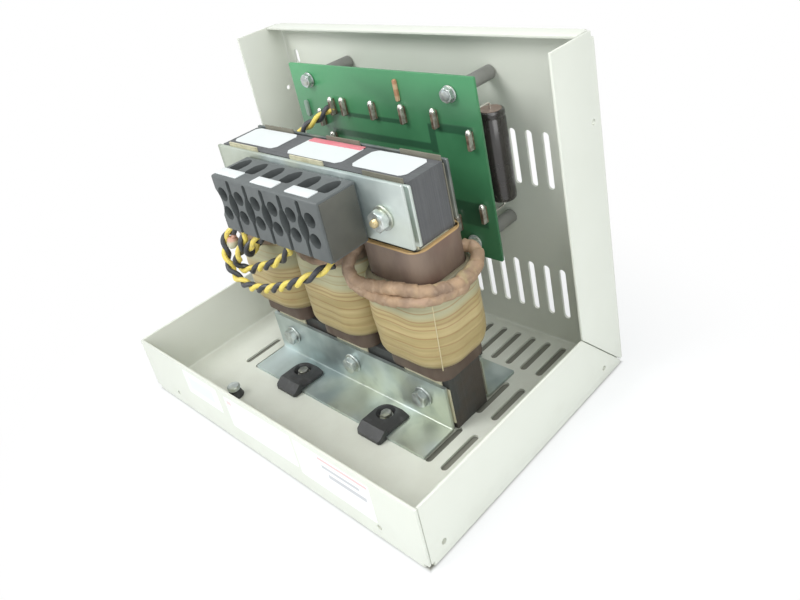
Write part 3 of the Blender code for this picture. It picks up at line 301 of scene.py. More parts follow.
def turned(profile, centre, axis=2, sign=1, steps=32, loop=False):
    """Rings about an axis: each pair of the profile is a radius and a height."""
    radius, height = np.asarray(profile, float).T[:, :, None]
    angle = np.linspace(0, 2 * np.pi, steps, endpoint=False)[None, :]
    rings = np.empty((len(radius), steps, 3))
    others = [k for k in range(3) if k != axis]
    rings[..., others[0]] = radius * np.cos(angle)
    rings[..., others[1]] = radius * np.sin(angle)
    rings[..., axis] = sign * height
    return loft(rings + np.asarray(centre, float), loop)


# %% [markdown]
# Shapes become one object here. The faces of a closed mesh are turned to
# point outwards, round surfaces are shaded smooth and corners stay sharp.
# The piece then rides on the frame and takes the place of its measured part.
# Its points already hold its place, so the object stays at the origin.


# %% Join shapes into a mesh
def mesh_of(name, shapes):
    """One mesh of closed shapes: the faces of each count on from the points before it."""
    points, faces, start = [], [], 0
    for dots, blocks in shapes:
        points.append(dots)
        faces += [row for block in blocks for row in (block + start).tolist()]
        start += len(dots)
    mesh = bpy.data.meshes.new(name)
    mesh.from_pydata(np.vstack(points).tolist(), [], faces)
    return mesh


def face_outwards(mesh, merge=None):
    """Turns all faces outwards, after points closer than a merge distance have become one."""
    work = bmesh.new()
    work.from_mesh(mesh)
    if merge:
        bmesh.ops.remove_doubles(work, verts=work.verts, dist=merge)
    bmesh.ops.recalc_face_normals(work, faces=work.faces)
    work.to_mesh(mesh)
    work.free()


# %% Make a piece from its shapes
totals = {}


def settle(name, mesh, finish, stands_for=(), sharp=35):
    """Finishes a mesh as a piece of the reactor. Edges sharper than so many degrees stay sharp."""
    face_outwards(mesh)
    mesh.shade_smooth()
    mesh.set_sharp_from_angle(angle=math.radians(sharp))
    mesh.materials.append(finish.material)
    made = bpy.data.objects.new(name, mesh)
    bpy.context.collection.objects.link(made)
    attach(made, "root")
    if stands_for:
        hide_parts(*stands_for)
    totals[name] = len(mesh.polygons)
    print("piece:", name, totals[name], "faces")


def piece(name, shapes, finish, stands_for=(), sharp=35):
    """One object from closed shapes, with its finish, fixed to the frame."""
    settle(name, mesh_of(name, shapes), finish, stands_for, sharp)


# %% [markdown]
# The twisted pairs are the first pieces, because their routes were fixed with
# the measured parts. A line through marked points could be a Blender curve,
# but its tube would be round and plain. As numpy rings the same line can
# carry winding strands and lapped tape.


# %% Lines through marked points
def smooth_line(marks, steps=24):
    """Catmull-Rom: between two marks runs a cubic that leaves along the chord of its neighbours."""
    p = np.asarray(marks, float)
    p = np.vstack([2 * p[0] - p[1], p, 2 * p[-1] - p[-2]])
    a, b, c, d = (q[:, None, :] for q in (p[:-3], p[1:-2], p[2:-1], p[3:]))
    t = (np.arange(steps) / steps)[None, :, None]
    line = (2 * b + (c - a) * t + (2 * a - 5 * b + 4 * c - d) * t**2 + (3 * b - a - 3 * c + d) * t**3) / 2
    return np.vstack([line.reshape(-1, 3), p[-2]])


def travelled(line):
    """Distance from the start at each point of a line."""
    return np.concatenate([[0.0], np.cumsum(np.linalg.norm(np.diff(line, axis=0), axis=1))])


def even(line, spacing):
    """The same line with its points a fixed distance apart."""
    run = travelled(line)
    at = np.linspace(0, run[-1], max(2, round(run[-1] / spacing)) + 1)
    return np.stack([np.interp(at, run, line[:, k]) for k in range(line.shape[1])], 1)


def across(line):
    """Two directions square to the line.

    A fixed hint gives them. The turn that the hint adds from point to point
    is summed and taken out, so that a tube on the line isn't wrung.
    """
    along = unit(np.gradient(line, axis=0))
    side = unit(np.cross(along, (0.31, 0.17, 0.94)))
    carried = side[:-1] - (side[:-1] * along[1:]).sum(1, keepdims=True) * along[1:]
    turn = np.arctan2((np.cross(carried, side[1:]) * along[1:]).sum(1), (carried * side[1:]).sum(1))
    turn = np.concatenate([[0.0], -np.cumsum(turn)])[:, None]
    over = np.cross(along, side)
    return side * np.cos(turn) + over * np.sin(turn), over * np.cos(turn) - side * np.sin(turn)


def tube(line, radius, sides=10):
    """Ring k is centre k plus radius * (side * cos a + over * sin a), with one radius, or one for each point."""
    side, over = across(line)
    a = np.linspace(0, 2 * np.pi, sides, endpoint=False)[None, :, None]
    radius = np.broadcast_to(radius, (len(line), sides))[:, :, None]
    return loft(line[:, None] + radius * (side[:, None] * np.cos(a) + over[:, None] * np.sin(a)))


# %% [markdown]
# A pair is two insulated strands, one yellow and one black, each winding
# round the line of the pair. A strand's centre is the line plus a radius at
# an angle that grows with the distance travelled. A twisted texture on one
# tube would be lighter, but the dark gaps between real strands are deep.


# %% Insulation of the strands
def insulation(name, colour, dull):
    """Soft plastic insulation with faint dirt and a slightly uneven skin."""
    finish = Finish(name, "wire_yellow", 0.42, Coat_Weight=0.15, Coat_Roughness=0.3)
    dirt = finish.at.noise(260, 3).smooth(0.42, 0.72)
    finish.feed("Base Color", dirt.blend(colour, dull))
    finish.feed("Roughness", 0.36 + 0.25 * finish.at.noise(500, 2))
    finish.relief(finish.at.noise(900, 2), 0.00012)
    return finish


yellow = insulation("yellow_insulation", (0.80, 0.64, 0.12), (0.66, 0.54, 0.15))
black = insulation("black_insulation", (0.032, 0.035, 0.042), (0.06, 0.06, 0.07))
STRAND = 0.00148
TWIST = 0.0168
BLOCK_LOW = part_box("terminal_block")[0].z


def twisted_pair(name, marks, node, start=0.0):
    """Two strands, half a turn apart: angle = start - 2 pi * distance / TWIST, a strand's radius from the line."""
    line = even(smooth_line(np.array(marks) * MM), 0.0006)
    side, over = across(line)
    angle = (start - 2 * np.pi * travelled(line) / TWIST)[:, None]
    for finish, turn in ((yellow, 0.0), (black, np.pi)):
        away = side * np.cos(angle + turn) + over * np.sin(angle + turn)
        strand = tube(line + 0.96 * STRAND * away, STRAND)
        stands_for = (node,) if turn == 0.0 else ()
        piece(f"{name}_{finish.material.name.split('_')[0]}", [strand], finish, stands_for)
    print(name, round(travelled(line)[-1] / MM), "mm")


# %% [markdown]
# Three pairs come out under the block and hang in loops in front of the
# coils, and one goes from the left coil up to the board. Their marks are
# points of the pairs in the photograph, each set at the depth where the pair
# clears its neighbours.

# %% The four pairs
under_block = BLOCK_LOW / MM - 0.3
pair_routes = {
    "front": [
        (-37.6, -35.0, under_block), (-38.4, -35.4, 118.4), (-45.5, -37.2, 115.8), (-54.0, -40.0, 110.8),
        (-54.6, -42.6, 103.0), (-54.6, -43.6, 95.2), (-51.2, -44.4, 89.2), (-44.2, -45.2, 85.8),
        (-31.5, -45.6, 85.0), (-15.0, -45.8, 88.8), (2.6, -45.4, 95.4), (15.6, -44.0, 101.0),
        (23.6, -39.6, 104.6), (27.4, -33.4, 106.4), (29.6, -28.6, 107.4),
    ],
    "middle": [
        (-33.5, -36.2, under_block), (-34.2, -37.0, 117.5), (-38.6, -40.0, 108.6), (-43.4, -41.4, 101.0),
        (-48.2, -41.4, 95.2), (-47.4, -40.0, 90.8), (-40.6, -38.8, 90.4), (-31.2, -38.0, 94.2),
        (-20.1, -38.0, 98.7), (-11.6, -35.6, 102.2), (-4.6, -33.4, 107.6), (-1.0, -32.2, 114.0),
        (0.0, -31.5, under_block),
    ],
    "hook": [
        (-48.0, -18.5, 101.2), (-45.6, -25.5, 101.4), (-41.0, -32.5, 101.0), (-36.8, -38.0, 102.2),
        (-33.6, -39.8, 106.6), (-29.4, -37.6, 111.2), (-23.4, -34.6, 114.0), (-18.0, -32.4, 117.4),
        (-16.5, -31.8, under_block),
    ],
    "board": [
        (-41.0, 49.4, 158.8), (-43.0, 46.6, 157.4), (-48.4, 42.0, 153.0), (-56.6, 35.6, 148.0),
        (-61.2, 30.6, 140.0),
        (-61.0, 27.6, 128.0), (-58.4, 26.4, 114.0), (-56.0, 25.4, 104.0), (-54.8, 24.6, 98.6),
    ],
}
for turn, (name, marks) in enumerate(pair_routes.items()):
    twisted_pair(name + "_pair", marks, "pair_" + name, 0.9 * turn + 0.4)

# %% [markdown]
# A pale cap with a pinkish top joins two strands below the block. It could
# be a cone, but shrink sleeve lies round over a splice, so its radius follows
# a rounded hump along a short line.

# %% Splice between two strands
crimp = Finish("splice_cap", "label_white", 0.5)
crimp.feed("Base Color", crimp.z.smooth(0.1078, 0.1100).blend((0.58, 0.56, 0.42), (0.62, 0.36, 0.27)))
crimp.relief(crimp.at.noise(500, 3), 0.0004, 0.6)
splice_marks = np.array([(-51.6, -40.6, 103.6), (-49.8, -39.4, 107.4), (-48.0, -37.6, 112.4)])
splice = even(smooth_line(splice_marks * MM), 0.0004)
share = np.linspace(0, 1, len(splice))
hump = np.clip(1 - np.abs(2 * np.clip(share * 1.25, 0, 1) - 1) ** 2.6, 0, 1)
swell = 0.0001 + 0.0026 * np.sqrt(hump) + 0.0016 * share * (1 - share**30)
piece("wire_splice", [tube(splice, swell[:, None], 20)], crimp, (), 60)

# %% [markdown]
# The chassis is covered with cream paint in a satin finish. It is almost even:
# a slow drift between two creams, a little grime near the floor and a very
# fine grain keep it from looking like plastic.

# %% Cream paint
paint = Finish("cream_paint", "cream_paint", 0.42, Coat_Weight=0.12, Coat_Roughness=0.35)
mottle = paint.at.noise(22, 3)
grime = (paint.at.noise(60, 5, rough=0.6) * paint.z.smooth(0.05, 0.0)).smooth(0.36, 0.62)
cream = mottle.smooth(0.25, 0.75).blend((0.673, 0.696, 0.624), (0.695, 0.718, 0.650))
paint.feed("Base Color", (0.10 * grime).blend(cream, (0.46, 0.45, 0.38)))
paint.feed("Roughness", 0.38 + 0.12 * paint.at.noise(160, 3))
paint.relief(paint.at.noise(1400, 2) + 0.3 * paint.at.noise(400, 2), 0.00006, 0.5)

# %% [markdown]
# The chassis is one folded sheet. It could be built from boxes, but they
# would show no bends and no seams. So flat panels that share their fold lines
# make an open surface here, with square notches where the folds meet and
# mitred seams between walls and flanges. The front wall stands 0.1 mm back,
# which leaves room for its paper labels.

# %% Outlines of the folded panels
WIDE, FRONT, BACK, TOP, TRAY = 125.0, -86.9, 87.0, 200.0, 40.0
SHEET, BEND, NOTCH, SEAM = 1.5, 2.5, 4.0, 0.4
FLANGE, LIP = 38.0, 13.5


def notched(low, high):
    """The corners of a floor or back panel, with a square notch at each corner."""
    a, b, m = WIDE, WIDE - NOTCH, NOTCH
    return [
        (-b, low), (b, low), (b, low + m), (a, low + m), (a, high - m), (b, high - m),
        (b, high), (-b, high), (-b, high - m), (-a, high - m), (-a, low + m), (-b, low + m),
    ]


def flap(half, start, end):
    """A wall that leaves its fold between two notches and then widens."""
    turn = start + math.copysign(NOTCH, end - start)
    b = WIDE - NOTCH
    return [
        (-b, start), (b, start), (b, turn), (half, turn),
        (half, end), (-half, end), (-half, turn), (-b, turn),
    ]


slope = TRAY / FLANGE
fold_end = BACK - NOTCH
flange_front = BACK - FLANGE
side_wall = [
    (FRONT + NOTCH, 0.0), (fold_end, 0.0), (fold_end, (BACK - SEAM - fold_end) * slope),
    (BACK - SEAM - FLANGE, TRAY), (FRONT + SHEET + SEAM, TRAY), (FRONT + SHEET + SEAM, NOTCH),
    (FRONT + NOTCH, NOTCH),
]
side_flange = [
    (BACK, NOTCH), (BACK + SEAM - NOTCH / slope, NOTCH), (flange_front, (BACK + SEAM - flange_front) * slope),
    (flange_front, TOP), (fold_end, TOP), (fold_end, TOP - NOTCH), (BACK, TOP - NOTCH),
]
panels = [
    [(x, y, 0.0) for x, y in notched(FRONT, BACK)],
    [(x, BACK, z) for x, z in notched(0.0, TOP)],
    [(x, FRONT, z) for x, z in flap(WIDE, 0.0, TRAY)],
    [(x, y, TOP) for x, y in flap(WIDE - SHEET - SEAM, BACK, BACK - LIP)],
]
panels += [[(side * WIDE, y, z) for y, z in shape] for side in (-1, 1) for shape in (side_wall, side_flange)]
print("folded panels:", len(panels))


# %% [markdown]
# Slots and holes are punched. A panel with holes in its outline would need
# many hand-made faces, so closed helper shapes cut them, as the punch does.
# A slot is two half circles with straight sides between.


# %% Slot and hole cutters
def stadium(length, width, steps=9):
    """Two half circles of the slot's width, pulled apart along the second direction."""
    t = np.linspace(0, np.pi, steps)
    arc = np.stack([np.cos(t), np.sin(t)], 1) * width / 2
    pull = np.array([0, (length - width) / 2])
    return np.vstack([arc + pull, -arc - pull])


def helper(name, shapes):
    """Closed shapes as one object that only cuts."""
    mesh = mesh_of(name, shapes)
    face_outwards(mesh, 1e-7)
    made = bpy.data.objects.new(name, mesh)
    bpy.context.collection.objects.link(made)
    return made


def cutter(name, outline, axis, places, reach):
    """The same outline at each place, carried along an axis by its reach to both sides."""
    others = [k for k in range(3) if k != axis]
    shapes = []
    for place in np.asarray(places, float):
        start, end = place[axis] - reach, place[axis] + reach
        shapes.append(bar(outline + place[others], axis, start, end, 1e-6, 2))
    return helper(name, shapes)


def cut(mesh, modifiers, cutters):
    """Runs the modifiers and then the cutters on a mesh, and returns the finished mesh."""
    body = bpy.data.objects.new("body", mesh)
    bpy.context.collection.objects.link(body)
    for kind, settings in modifiers:
        step = body.modifiers.new(kind.lower(), kind)
        for key, value in settings.items():
            setattr(step, key, value)
    for tool in cutters:
        step = body.modifiers.new("cut", "BOOLEAN")
        step.solver = "EXACT"
        step.object = tool
    bpy.context.view_layer.update()
    result = bpy.data.meshes.new_from_object(body.evaluated_get(bpy.context.evaluated_depsgraph_get()))
    for spare in (body, *cutters):
        bpy.data.objects.remove(spare)
    return result


# %% [markdown]
# Now the panels become steel. Bevel rounds the folds, Solidify gives the wall
# on the inner side, a second Bevel eases the cut rims, and the cutters pierce
# what is then a solid sheet. This order matters: holes that were cut first
# would be pulled out of shape by the bends.

# %% Panels joined along their folds
sheet = bpy.data.meshes.new("sheet")
work = bmesh.new()
for corners in panels:
    work.faces.new([work.verts.new([c * MM for c in corner]) for corner in corners])
bmesh.ops.remove_doubles(work, verts=work.verts, dist=1e-6)
bmesh.ops.recalc_face_normals(work, faces=work.faces)
work.faces.ensure_lookup_table()
if work.faces[0].normal.z > 0:
    bmesh.ops.reverse_faces(work, faces=work.faces)
work.to_mesh(sheet)
work.free()

# %% Fold and pierce the chassis
slot_columns = 11.2 * MM * (np.arange(17) - 8)
floor_slots = [(x, y, 0.0) for x in slot_columns for y in (-0.023, 0.0205, 0.064)]
back_slots = [(x, BACK * MM, z) for x in slot_columns for z in (0.037, 0.125)]
hanging = [(side * 0.1136, BACK * MM, 0.1763) for side in (-1, 1)]
front_holes = [(side * 0.094, FRONT * MM, 0.0095) for side in (-1, 1)]
side_holes = [
    (side * 0.125, y, z) for side in (-1, 1) for y, z in ((-0.075, 0.0095), (0.066, 0.0095), (0.0785, 0.155))
]
small_hole = rounded(0.0016, 0.0016, 0.00155, 5)
THROUGH = 0.004
bend = {"width": BEND * MM, "segments": 6, "limit_method": "ANGLE", "angle_limit": 0.5}
wall = {"thickness": SHEET * MM, "offset": -1.0, "use_even_offset": True}
rim = {"width": 0.0003, "segments": 2, "limit_method": "ANGLE", "angle_limit": 1.0}
chassis_mesh = cut(
    sheet,
    [("BEVEL", bend), ("SOLIDIFY", wall), ("BEVEL", rim)],
    [
        cutter("floor_slots", stadium(0.0296, 0.0045), 2, floor_slots, THROUGH),
        cutter("back_slots", stadium(0.0348, 0.0045), 1, back_slots, THROUGH),
        cutter("hanging", stadium(0.010, 0.0045), 1, hanging, THROUGH),
        cutter("front_holes", small_hole, 1, front_holes, THROUGH),
        cutter("side_holes", small_hole, 0, side_holes, THROUGH),
    ],
)
settle("folded_chassis", chassis_mesh, paint, ("chassis",), 40)
print("slots:", len(floor_slots) + len(back_slots), "in a sheet of", SHEET, "mm")

# %% [markdown]
# The core is a stack of thin laminations, dark with varnish and browner where
# it has rusted near the foot. Towards the foot it is also painted darker, as
# the shade under the coils. Each sheet shows as a hairline on the cut edges.
# Noise that is stretched across the stack gives each hairline its own tone.

# %% Varnished core steel
steel = Finish("core_varnish", "core_steel", 0.5, Metallic=0.2)
sheets = steel.at.noise(120, 2, (0.05, 22.0, 0.05))
soot = steel.at.noise(55, 4).smooth(0.35, 0.7)
dark = sheets.smooth(0.2, 0.85).blend((0.098, 0.102, 0.108), (0.132, 0.136, 0.142))
lower = steel.z.smooth(0.060, 0.030)
# Painted shade: towards the foot the core turns almost black, as the shade under the coils.
dark = (0.85 * lower).blend(dark, (0.050, 0.053, 0.050))
rust = (steel.at.noise(45, 3) * lower).smooth(0.42, 0.66)
steel.feed("Base Color", (0.6 * rust).blend((0.5 * soot).blend(dark, (0.075, 0.078, 0.080)), (0.085, 0.062, 0.048)))
steel.feed("Roughness", 0.42 + 0.25 * steel.at.noise(200, 3))
steel.relief(0.5 * sheets + 0.4 * soot, 0.00008, 0.5)


# %% [markdown]
# Fifty-two sheets could be fifty-two boxes. One loft is lighter: each sheet
# is the same outline, grown by a hair that changes from sheet to sheet, so
# the cut edges catch the light as fine steps.


# %% Stack an outline into laminations
SHEETS = 52


def laminated(outline, low, high, sheets=SHEETS, spread=0.00005):
    """Each sheet is the outline grown by its own random amount, with a step to the next sheet."""
    random = np.random.default_rng(7)
    by = random.uniform(-spread, spread, sheets) * (random.random(sheets) > 0.35)
    edges = np.linspace(low, high, sheets + 1)
    level = np.stack([edges[:-1], edges[1:] - 0.00004], 1).ravel()
    rings = np.empty((2 * sheets, len(outline), 3))
    for ring, amount, y in zip(rings, np.repeat(by, 2), level):
        ring[:, [0, 2]] = grow(outline, amount)
        ring[:, 1] = y
    return loft(rings)


# %% Core in two stacks
low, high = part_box("core_limbs")
limbs = [(low.x, low.z), (high.x, low.z)]
for middle in (0.059, 0.0, -0.059):
    limbs += [(middle + 0.019, 0.0378)] if middle < 0.05 else []
    limbs += [(middle + 0.019, high.z), (middle - 0.019, high.z)]
    limbs += [(middle - 0.019, 0.0378)] if middle > -0.05 else []
limb_stack = laminated(grow(np.array(limbs), -0.0001), low.y, high.y)
piece("laminated_limbs", [limb_stack], steel, ("core_limbs",), 20)
low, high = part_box("core_upper_yoke")
yoke_outline = np.array([(low.x, low.z), (high.x, low.z), (high.x, high.z), (low.x, high.z)])
yoke = laminated(grow(yoke_outline, -0.0001), low.y, high.y)
piece("laminated_yoke", [yoke], steel, ("core_upper_yoke",), 20)
print("laminations:", SHEETS)

# %% [markdown]
# A former is a tube of brown board round each limb, with a tan cut edge on
# top and darker stains of varnish. The stains are masks on height and
# place, because an even brown would look like moulded plastic. Two darker
# masks are painted shade: the terminal block's shadow on the right former,
# and the foot below the winding.

# %% Former board
board_skin = Finish("former_board", "former_board", 0.55)
grain = board_skin.at.noise(90, 4, (1.0, 1.0, 0.35))
brown = grain.smooth(0.3, 0.72).blend((0.150, 0.105, 0.082), (0.215, 0.158, 0.118))
varnish = board_skin.at.noise(30, 3).smooth(0.48, 0.72)
brown = (0.7 * varnish).blend(brown, (0.165, 0.082, 0.062))
# Painted shadow: a dark band where the terminal block's shadow falls on the right former.
brown = (0.55 * board_skin.x.inside(0.030, 0.044, 0.008)).blend(brown, (0.060, 0.050, 0.044))
edge_stain = board_skin.at.noise(60, 3).smooth(0.45, 0.62) * board_skin.z.smooth(0.104, 0.096)
brown = (0.6 * edge_stain).blend(brown, (0.110, 0.060, 0.045))
# Painted shade: darker towards the foot, below the winding.
brown = (0.55 * board_skin.z.smooth(0.055, 0.042)).blend(brown, (0.075, 0.055, 0.045))
cut_edge = board_skin.z.smooth(0.1172, 0.1177)
board_skin.feed("Base Color", cut_edge.blend(brown, (0.46, 0.30, 0.13)))
board_skin.feed("Roughness", 0.30 + 0.4 * board_skin.at.noise(140, 3))
board_skin.relief(grain + 0.4 * board_skin.at.noise(700, 2), 0.0002, 0.6)


# %% [markdown]
# A former's section is a rectangle with round corners. Its profile runs up
# the outside, over the top edge and down the inside, as a ring of rings. An
# extruded outline would be as quick, but it couldn't bulge a little between
# its ends as board does.


# %% Tubes with a rounded rectangular section
def evened(outline, count):
    """A closed outline with so many points, all the same distance apart."""
    closed = np.vstack([outline, outline[:1]])
    run = travelled(closed)
    at = np.linspace(0, run[-1], count, endpoint=False)
    return np.stack([np.interp(at, run, closed[:, k]) for k in (0, 1)], 1)


def outward(outline):
    """Directions that point away from an anticlockwise outline."""
    along = unit(np.roll(outline, -1, 0) - np.roll(outline, 1, 0))
    return np.stack([along[:, 1], -along[:, 0]], 1)


def levelled(outline, height):
    """An outline laid flat at one height, or at a height for each point."""
    return np.column_stack([outline, np.broadcast_to(height, len(outline))])


# %% Formers
CORE_Y = 0.003
COILS = {"left": -0.059, "middle": 0.0, "right": 0.059}
for name, x in COILS.items():
    low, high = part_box("former_" + name)
    outer = evened(rounded(0.022, 0.0185, 0.008, 10), 96) + (x, CORE_Y)
    inner = evened(rounded(0.0195, 0.016, 0.0012, 6), 96) + (x, CORE_Y)
    away = outward(outer)
    wave = 0.00012 * np.sin(np.arange(96) * 0.7 + x * 900)[:, None]
    levels = ((0, low.z), (1, low.z + 0.02), (1, 0.10), (0, high.z - 0.0004))
    rings = [levelled(outer + away * wave * fade, z) for fade, z in levels]
    rings += [levelled(outer - away * 0.0004, high.z), levelled(inner + outward(inner) * 0.0003, high.z)]
    rings += [levelled(inner, high.z - 0.0003), levelled(inner, low.z)]
    piece("board_former_" + name, [loft(np.array(rings), True)], board_skin, ("former_" + name,), 40)

# %% [markdown]
# A winding is wide copper strip, wrapped in paper that varnish has turned
# tan. The turns press through the paper as shallow bands with rusty lines
# between, and the upper end is greener. The foot is painted darker as shade
# where the winding turns under, and the top end is darker too. A picture of
# real paper could give that, but bands and lines that follow the height need
# no picture.

# %% Varnished paper of the windings
paper = Finish("winding_paper", "winding_paper", 0.5, Coat_Weight=0.15, Coat_Roughness=0.4)
drift = paper.at.noise(20, 2) - 0.5
level = paper.z + 0.007 * drift
fine = paper.at.noise(60, 4, (0.25, 0.25, 5.0))
streak = paper.at.noise(70, 3, (0.10, 0.10, 3.4)).smooth(0.38, 0.66)
tan = streak.blend((0.415, 0.325, 0.148), (0.510, 0.410, 0.200))
tan = (fine.smooth(0.45, 0.75) * 0.6).blend(tan, (0.560, 0.465, 0.255))
pale = level.smooth(0.078, 0.084)
tan = (0.85 * pale).blend(tan, (0.400, 0.400, 0.260))
bands = (level * (2 * math.pi / 0.0056)).math("SINE")
faint = paper.at.noise(32, 2, (0.3, 0.3, 1.0)).smooth(0.36, 0.62)
tan = (bands.smooth(0.78, 1.0) * faint * 0.65).blend(tan, (0.330, 0.180, 0.070))
strong = level.inside(0.0768, 0.0774, 0.0008) * 0.8
strong = strong + level.inside(0.0872, 0.0876, 0.0009) * 0.35
strong = strong + level.inside(0.0580, 0.0584, 0.0009) * 0.3
tan = strong.math("MINIMUM", 1.0).blend(tan, (0.250, 0.130, 0.050))
stain = (paper.at.noise(38, 4).smooth(0.55, 0.74) * level.smooth(0.066, 0.052)) * 0.45
tan = stain.blend(tan, (0.400, 0.220, 0.105))
# Painted shade: the foot of the winding is darker, where it turns under.
tan = (0.75 * paper.z.smooth(0.0520, 0.0478)).blend(tan, (0.170, 0.115, 0.065))
tan = (0.75 * paper.z.smooth(0.0960, 0.0975)).blend(tan, (0.150, 0.130, 0.090))
paper.feed("Base Color", tan)
paper.feed("Roughness", 0.36 + 0.3 * paper.at.noise(110, 3))
paper.relief(fine * 0.5 + streak * 0.3 + 0.2 * paper.at.noise(500, 2), 0.00022, 0.7)


# %% [markdown]
# The wall of a coil is a grid of height and distance round the coil, pushed
# outwards by a bulge, less a groove between two bands. The grooves wander a
# little round the coil. Stacked rings would look like a spring, and bump
# alone would leave the outline straight.


# %% Wind the coils
def winding(name, x, seed):
    """Outward push = bulge * (1 - h^4) + slow waves - grooves between bands - rounding of both ends."""
    low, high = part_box("winding_" + name)
    base = evened(rounded(0.0293, 0.025, 0.0195, 20), 200)
    away = outward(base)
    around = np.linspace(0, 2 * np.pi, 200, endpoint=False)
    foot = low.z - 0.0024
    h = np.linspace(0, 1, 110)[:, None]
    height = foot + (high.z - foot) * h
    wander = 0.0004 * np.sin(2 * around + seed) + 0.0002 * np.sin(5 * around + 2.1 * seed)
    phase = (height + wander - 0.0005) / 0.0056
    groove = 0.00016 * np.exp(-(((phase - np.round(phase)) / 0.16) ** 2))
    waves = 0.0002 * np.sin(3 * around + 9 * h + seed) + 0.00012 * np.sin(7 * around - 13 * h)
    middle = 2 * h - 1
    rounding = 0.0030 * (np.abs(middle) ** 12) + 0.0008 * np.maximum(0, -middle) ** 2
    push = -0.0004 + 0.0003 * (1 - middle**4) + waves * (1 - np.abs(middle) ** 8) - groove - rounding
    wall = base[None] + away[None] * push[:, :, None]
    outer = np.concatenate([wall, np.broadcast_to(height[:, :, None], (110, 200, 1))], 2)
    inner = evened(rounded(0.0223, 0.0188, 0.0083, 10), 200)
    lid = inner + (wall[-1] - inner) * 0.5
    sole = inner + (wall[0] - inner) * 0.5
    rings = [outer, levelled(lid, high.z + 0.0002)[None], levelled(inner, high.z - 0.0006)[None]]
    rings += [levelled(inner, foot + 0.0006)[None], levelled(sole, foot)[None]]
    rings = np.concatenate(rings) + (x, CORE_Y, 0)
    piece("paper_winding_" + name, [loft(rings, True)], paper, ("winding_" + name,), 60)


for seed, (name, x) in enumerate(COILS.items()):
    winding(name, x, seed * 1.7 + 0.4)
print("windings:", len(COILS), "with grooves", 5.6, "mm apart")

# %% [markdown]
# The taped lead is wrapped in fibrous tape, pinkish brown, with paler and
# browner patches where it was handled and where varnish reached it. Its left
# end is painted darker, as the terminal block's shadow. The tape is coarse,
# so its bumps are deeper than those of the other finishes.

# %% Lead tape
tape = Finish("lead_tape", "lead_tape", 0.62)
fibre = tape.at.noise(300, 3)
rose = tape.at.noise(90, 3).smooth(0.34, 0.66).blend((0.265, 0.180, 0.115), (0.400, 0.270, 0.165))
rose = (tape.at.noise(65, 4).smooth(0.46, 0.64) * 0.8).blend(rose, (0.215, 0.145, 0.100))
rose = (tape.at.noise(40, 3).smooth(0.56, 0.66) * 0.6).blend(rose, (0.450, 0.300, 0.205))
corner_patch = tape.x.smooth(0.078, 0.090) * tape.at.noise(70, 3).smooth(0.46, 0.58)
rose = (corner_patch * 0.7).blend(rose, (0.420, 0.350, 0.185))
# Painted shadow: the left end of the lead is darker, where the block's shadow falls.
rose = (tape.x.smooth(0.044, 0.034) * 0.6).blend(rose, (0.230, 0.165, 0.120))
tape.feed("Base Color", (fibre.smooth(0.5, 0.8) * 0.4).blend(rose, (0.50, 0.38, 0.28)))
tape.feed("Roughness", 0.5 + 0.3 * fibre)
tape.relief(fibre + tape.at.noise(120, 2), 0.0005, 0.9)

# %% [markdown]
# The lead is a doubled sleeve. It leaves the middle former, lies as a thick
# band round the top edge of the right winding and goes back in at its rear.
# Its two strands part a little at the front, which leaves a dark slit. The
# tape goes on one turn half over the next, so the radius rises slowly and
# drops at each edge of the tape. Bump could fake that edge, but not the way
# it breaks the outline.


# %% Wrap the lead
LAP = 0.0078


def laps(run, sides=28):
    """How far each point is into its turn of tape: the fraction of distance / LAP - angle / one turn."""
    return (run[:, None] / LAP - np.arange(sides)[None, :] / sides) % 1.0


right, front, side = 59.0, -22.0 - 4.1, 59.0 + 29.3 + 4.1
reach = (19.5 + 4.1) * math.sqrt(0.5)
corner_x, corner_y = 9.8, 5.5
lead_marks = [
    (22.3, -3.0, 110.5), (26.4, -3.0, 110.5), (29.8, -6.8, 110.3), (30.6, -13.0, 109.3), (31.2, -19.0, 106.6),
    (33.2, -23.8, 101.0), (39.5, front, 96.3), (right - corner_x, front, 94.8), (right, front, 95.0),
    (right + corner_x, front, 96.5), (right + corner_x + reach, 3.0 - corner_y - reach, 97.0),
    (side - 1.0, 3.0 - corner_y, 94.8), (side - 1.2, 3.5, 95.6), (side - 1.4, 10.5, 97.0),
    (side - 2.4, 16.0, 98.8), (side - 5.4, 21.0, 100.4), (right + 22.6, 23.8, 101.6), (right + 17.0, 22.8, 102.4),
]
line = even(smooth_line(np.array(lead_marks) * MM), 0.0005)
lead_run = travelled(line)
print("taped lead:", round(lead_run[-1] / MM), "mm")

# %% Part the two strands of the lead
part_places = [0, 0.22, 0.32, 0.40, 0.48, 0.56, 0.66, 0.80, 1]
part_sizes = [0.1, 0.25, 0.55, 0.85, 1.0, 0.85, 0.6, 0.3, 0.1]
part = np.interp(lead_run / lead_run[-1], part_places, part_sizes)[:, None]
inward = unit(np.array([right, 3.0, 0.0]) * MM * (1, 1, 0) - line * (1, 1, 0))
round_it = np.arange(28)[None, :] / 28
wrap = laps(lead_run)
swell = 0.00060 * wrap * (1 - wrap**24) + 0.00016 * np.sin(lead_run * 130)[:, None]
swell = swell + 0.00008 * np.sin(2 * np.pi * 2 * round_it + lead_run[:, None] * 170)
upper = line + part * (0.0036 * inward + np.array([0, 0, 0.0034]))
lower = line + part * np.array([0, 0, -0.0022])
sleeves = [tube(upper, 0.0033 + swell, 28), tube(lower, 0.0026 + swell[:, ::-1], 28)]
piece("taped_lead", sleeves, tape, ("lead_taped",), 50)

# %% [markdown]
# The other two coils have a taped crossing on their upper edge, browner and
# half hidden behind the block and the wires. One sleeve each is enough, with
# the same laps as on the taped lead.

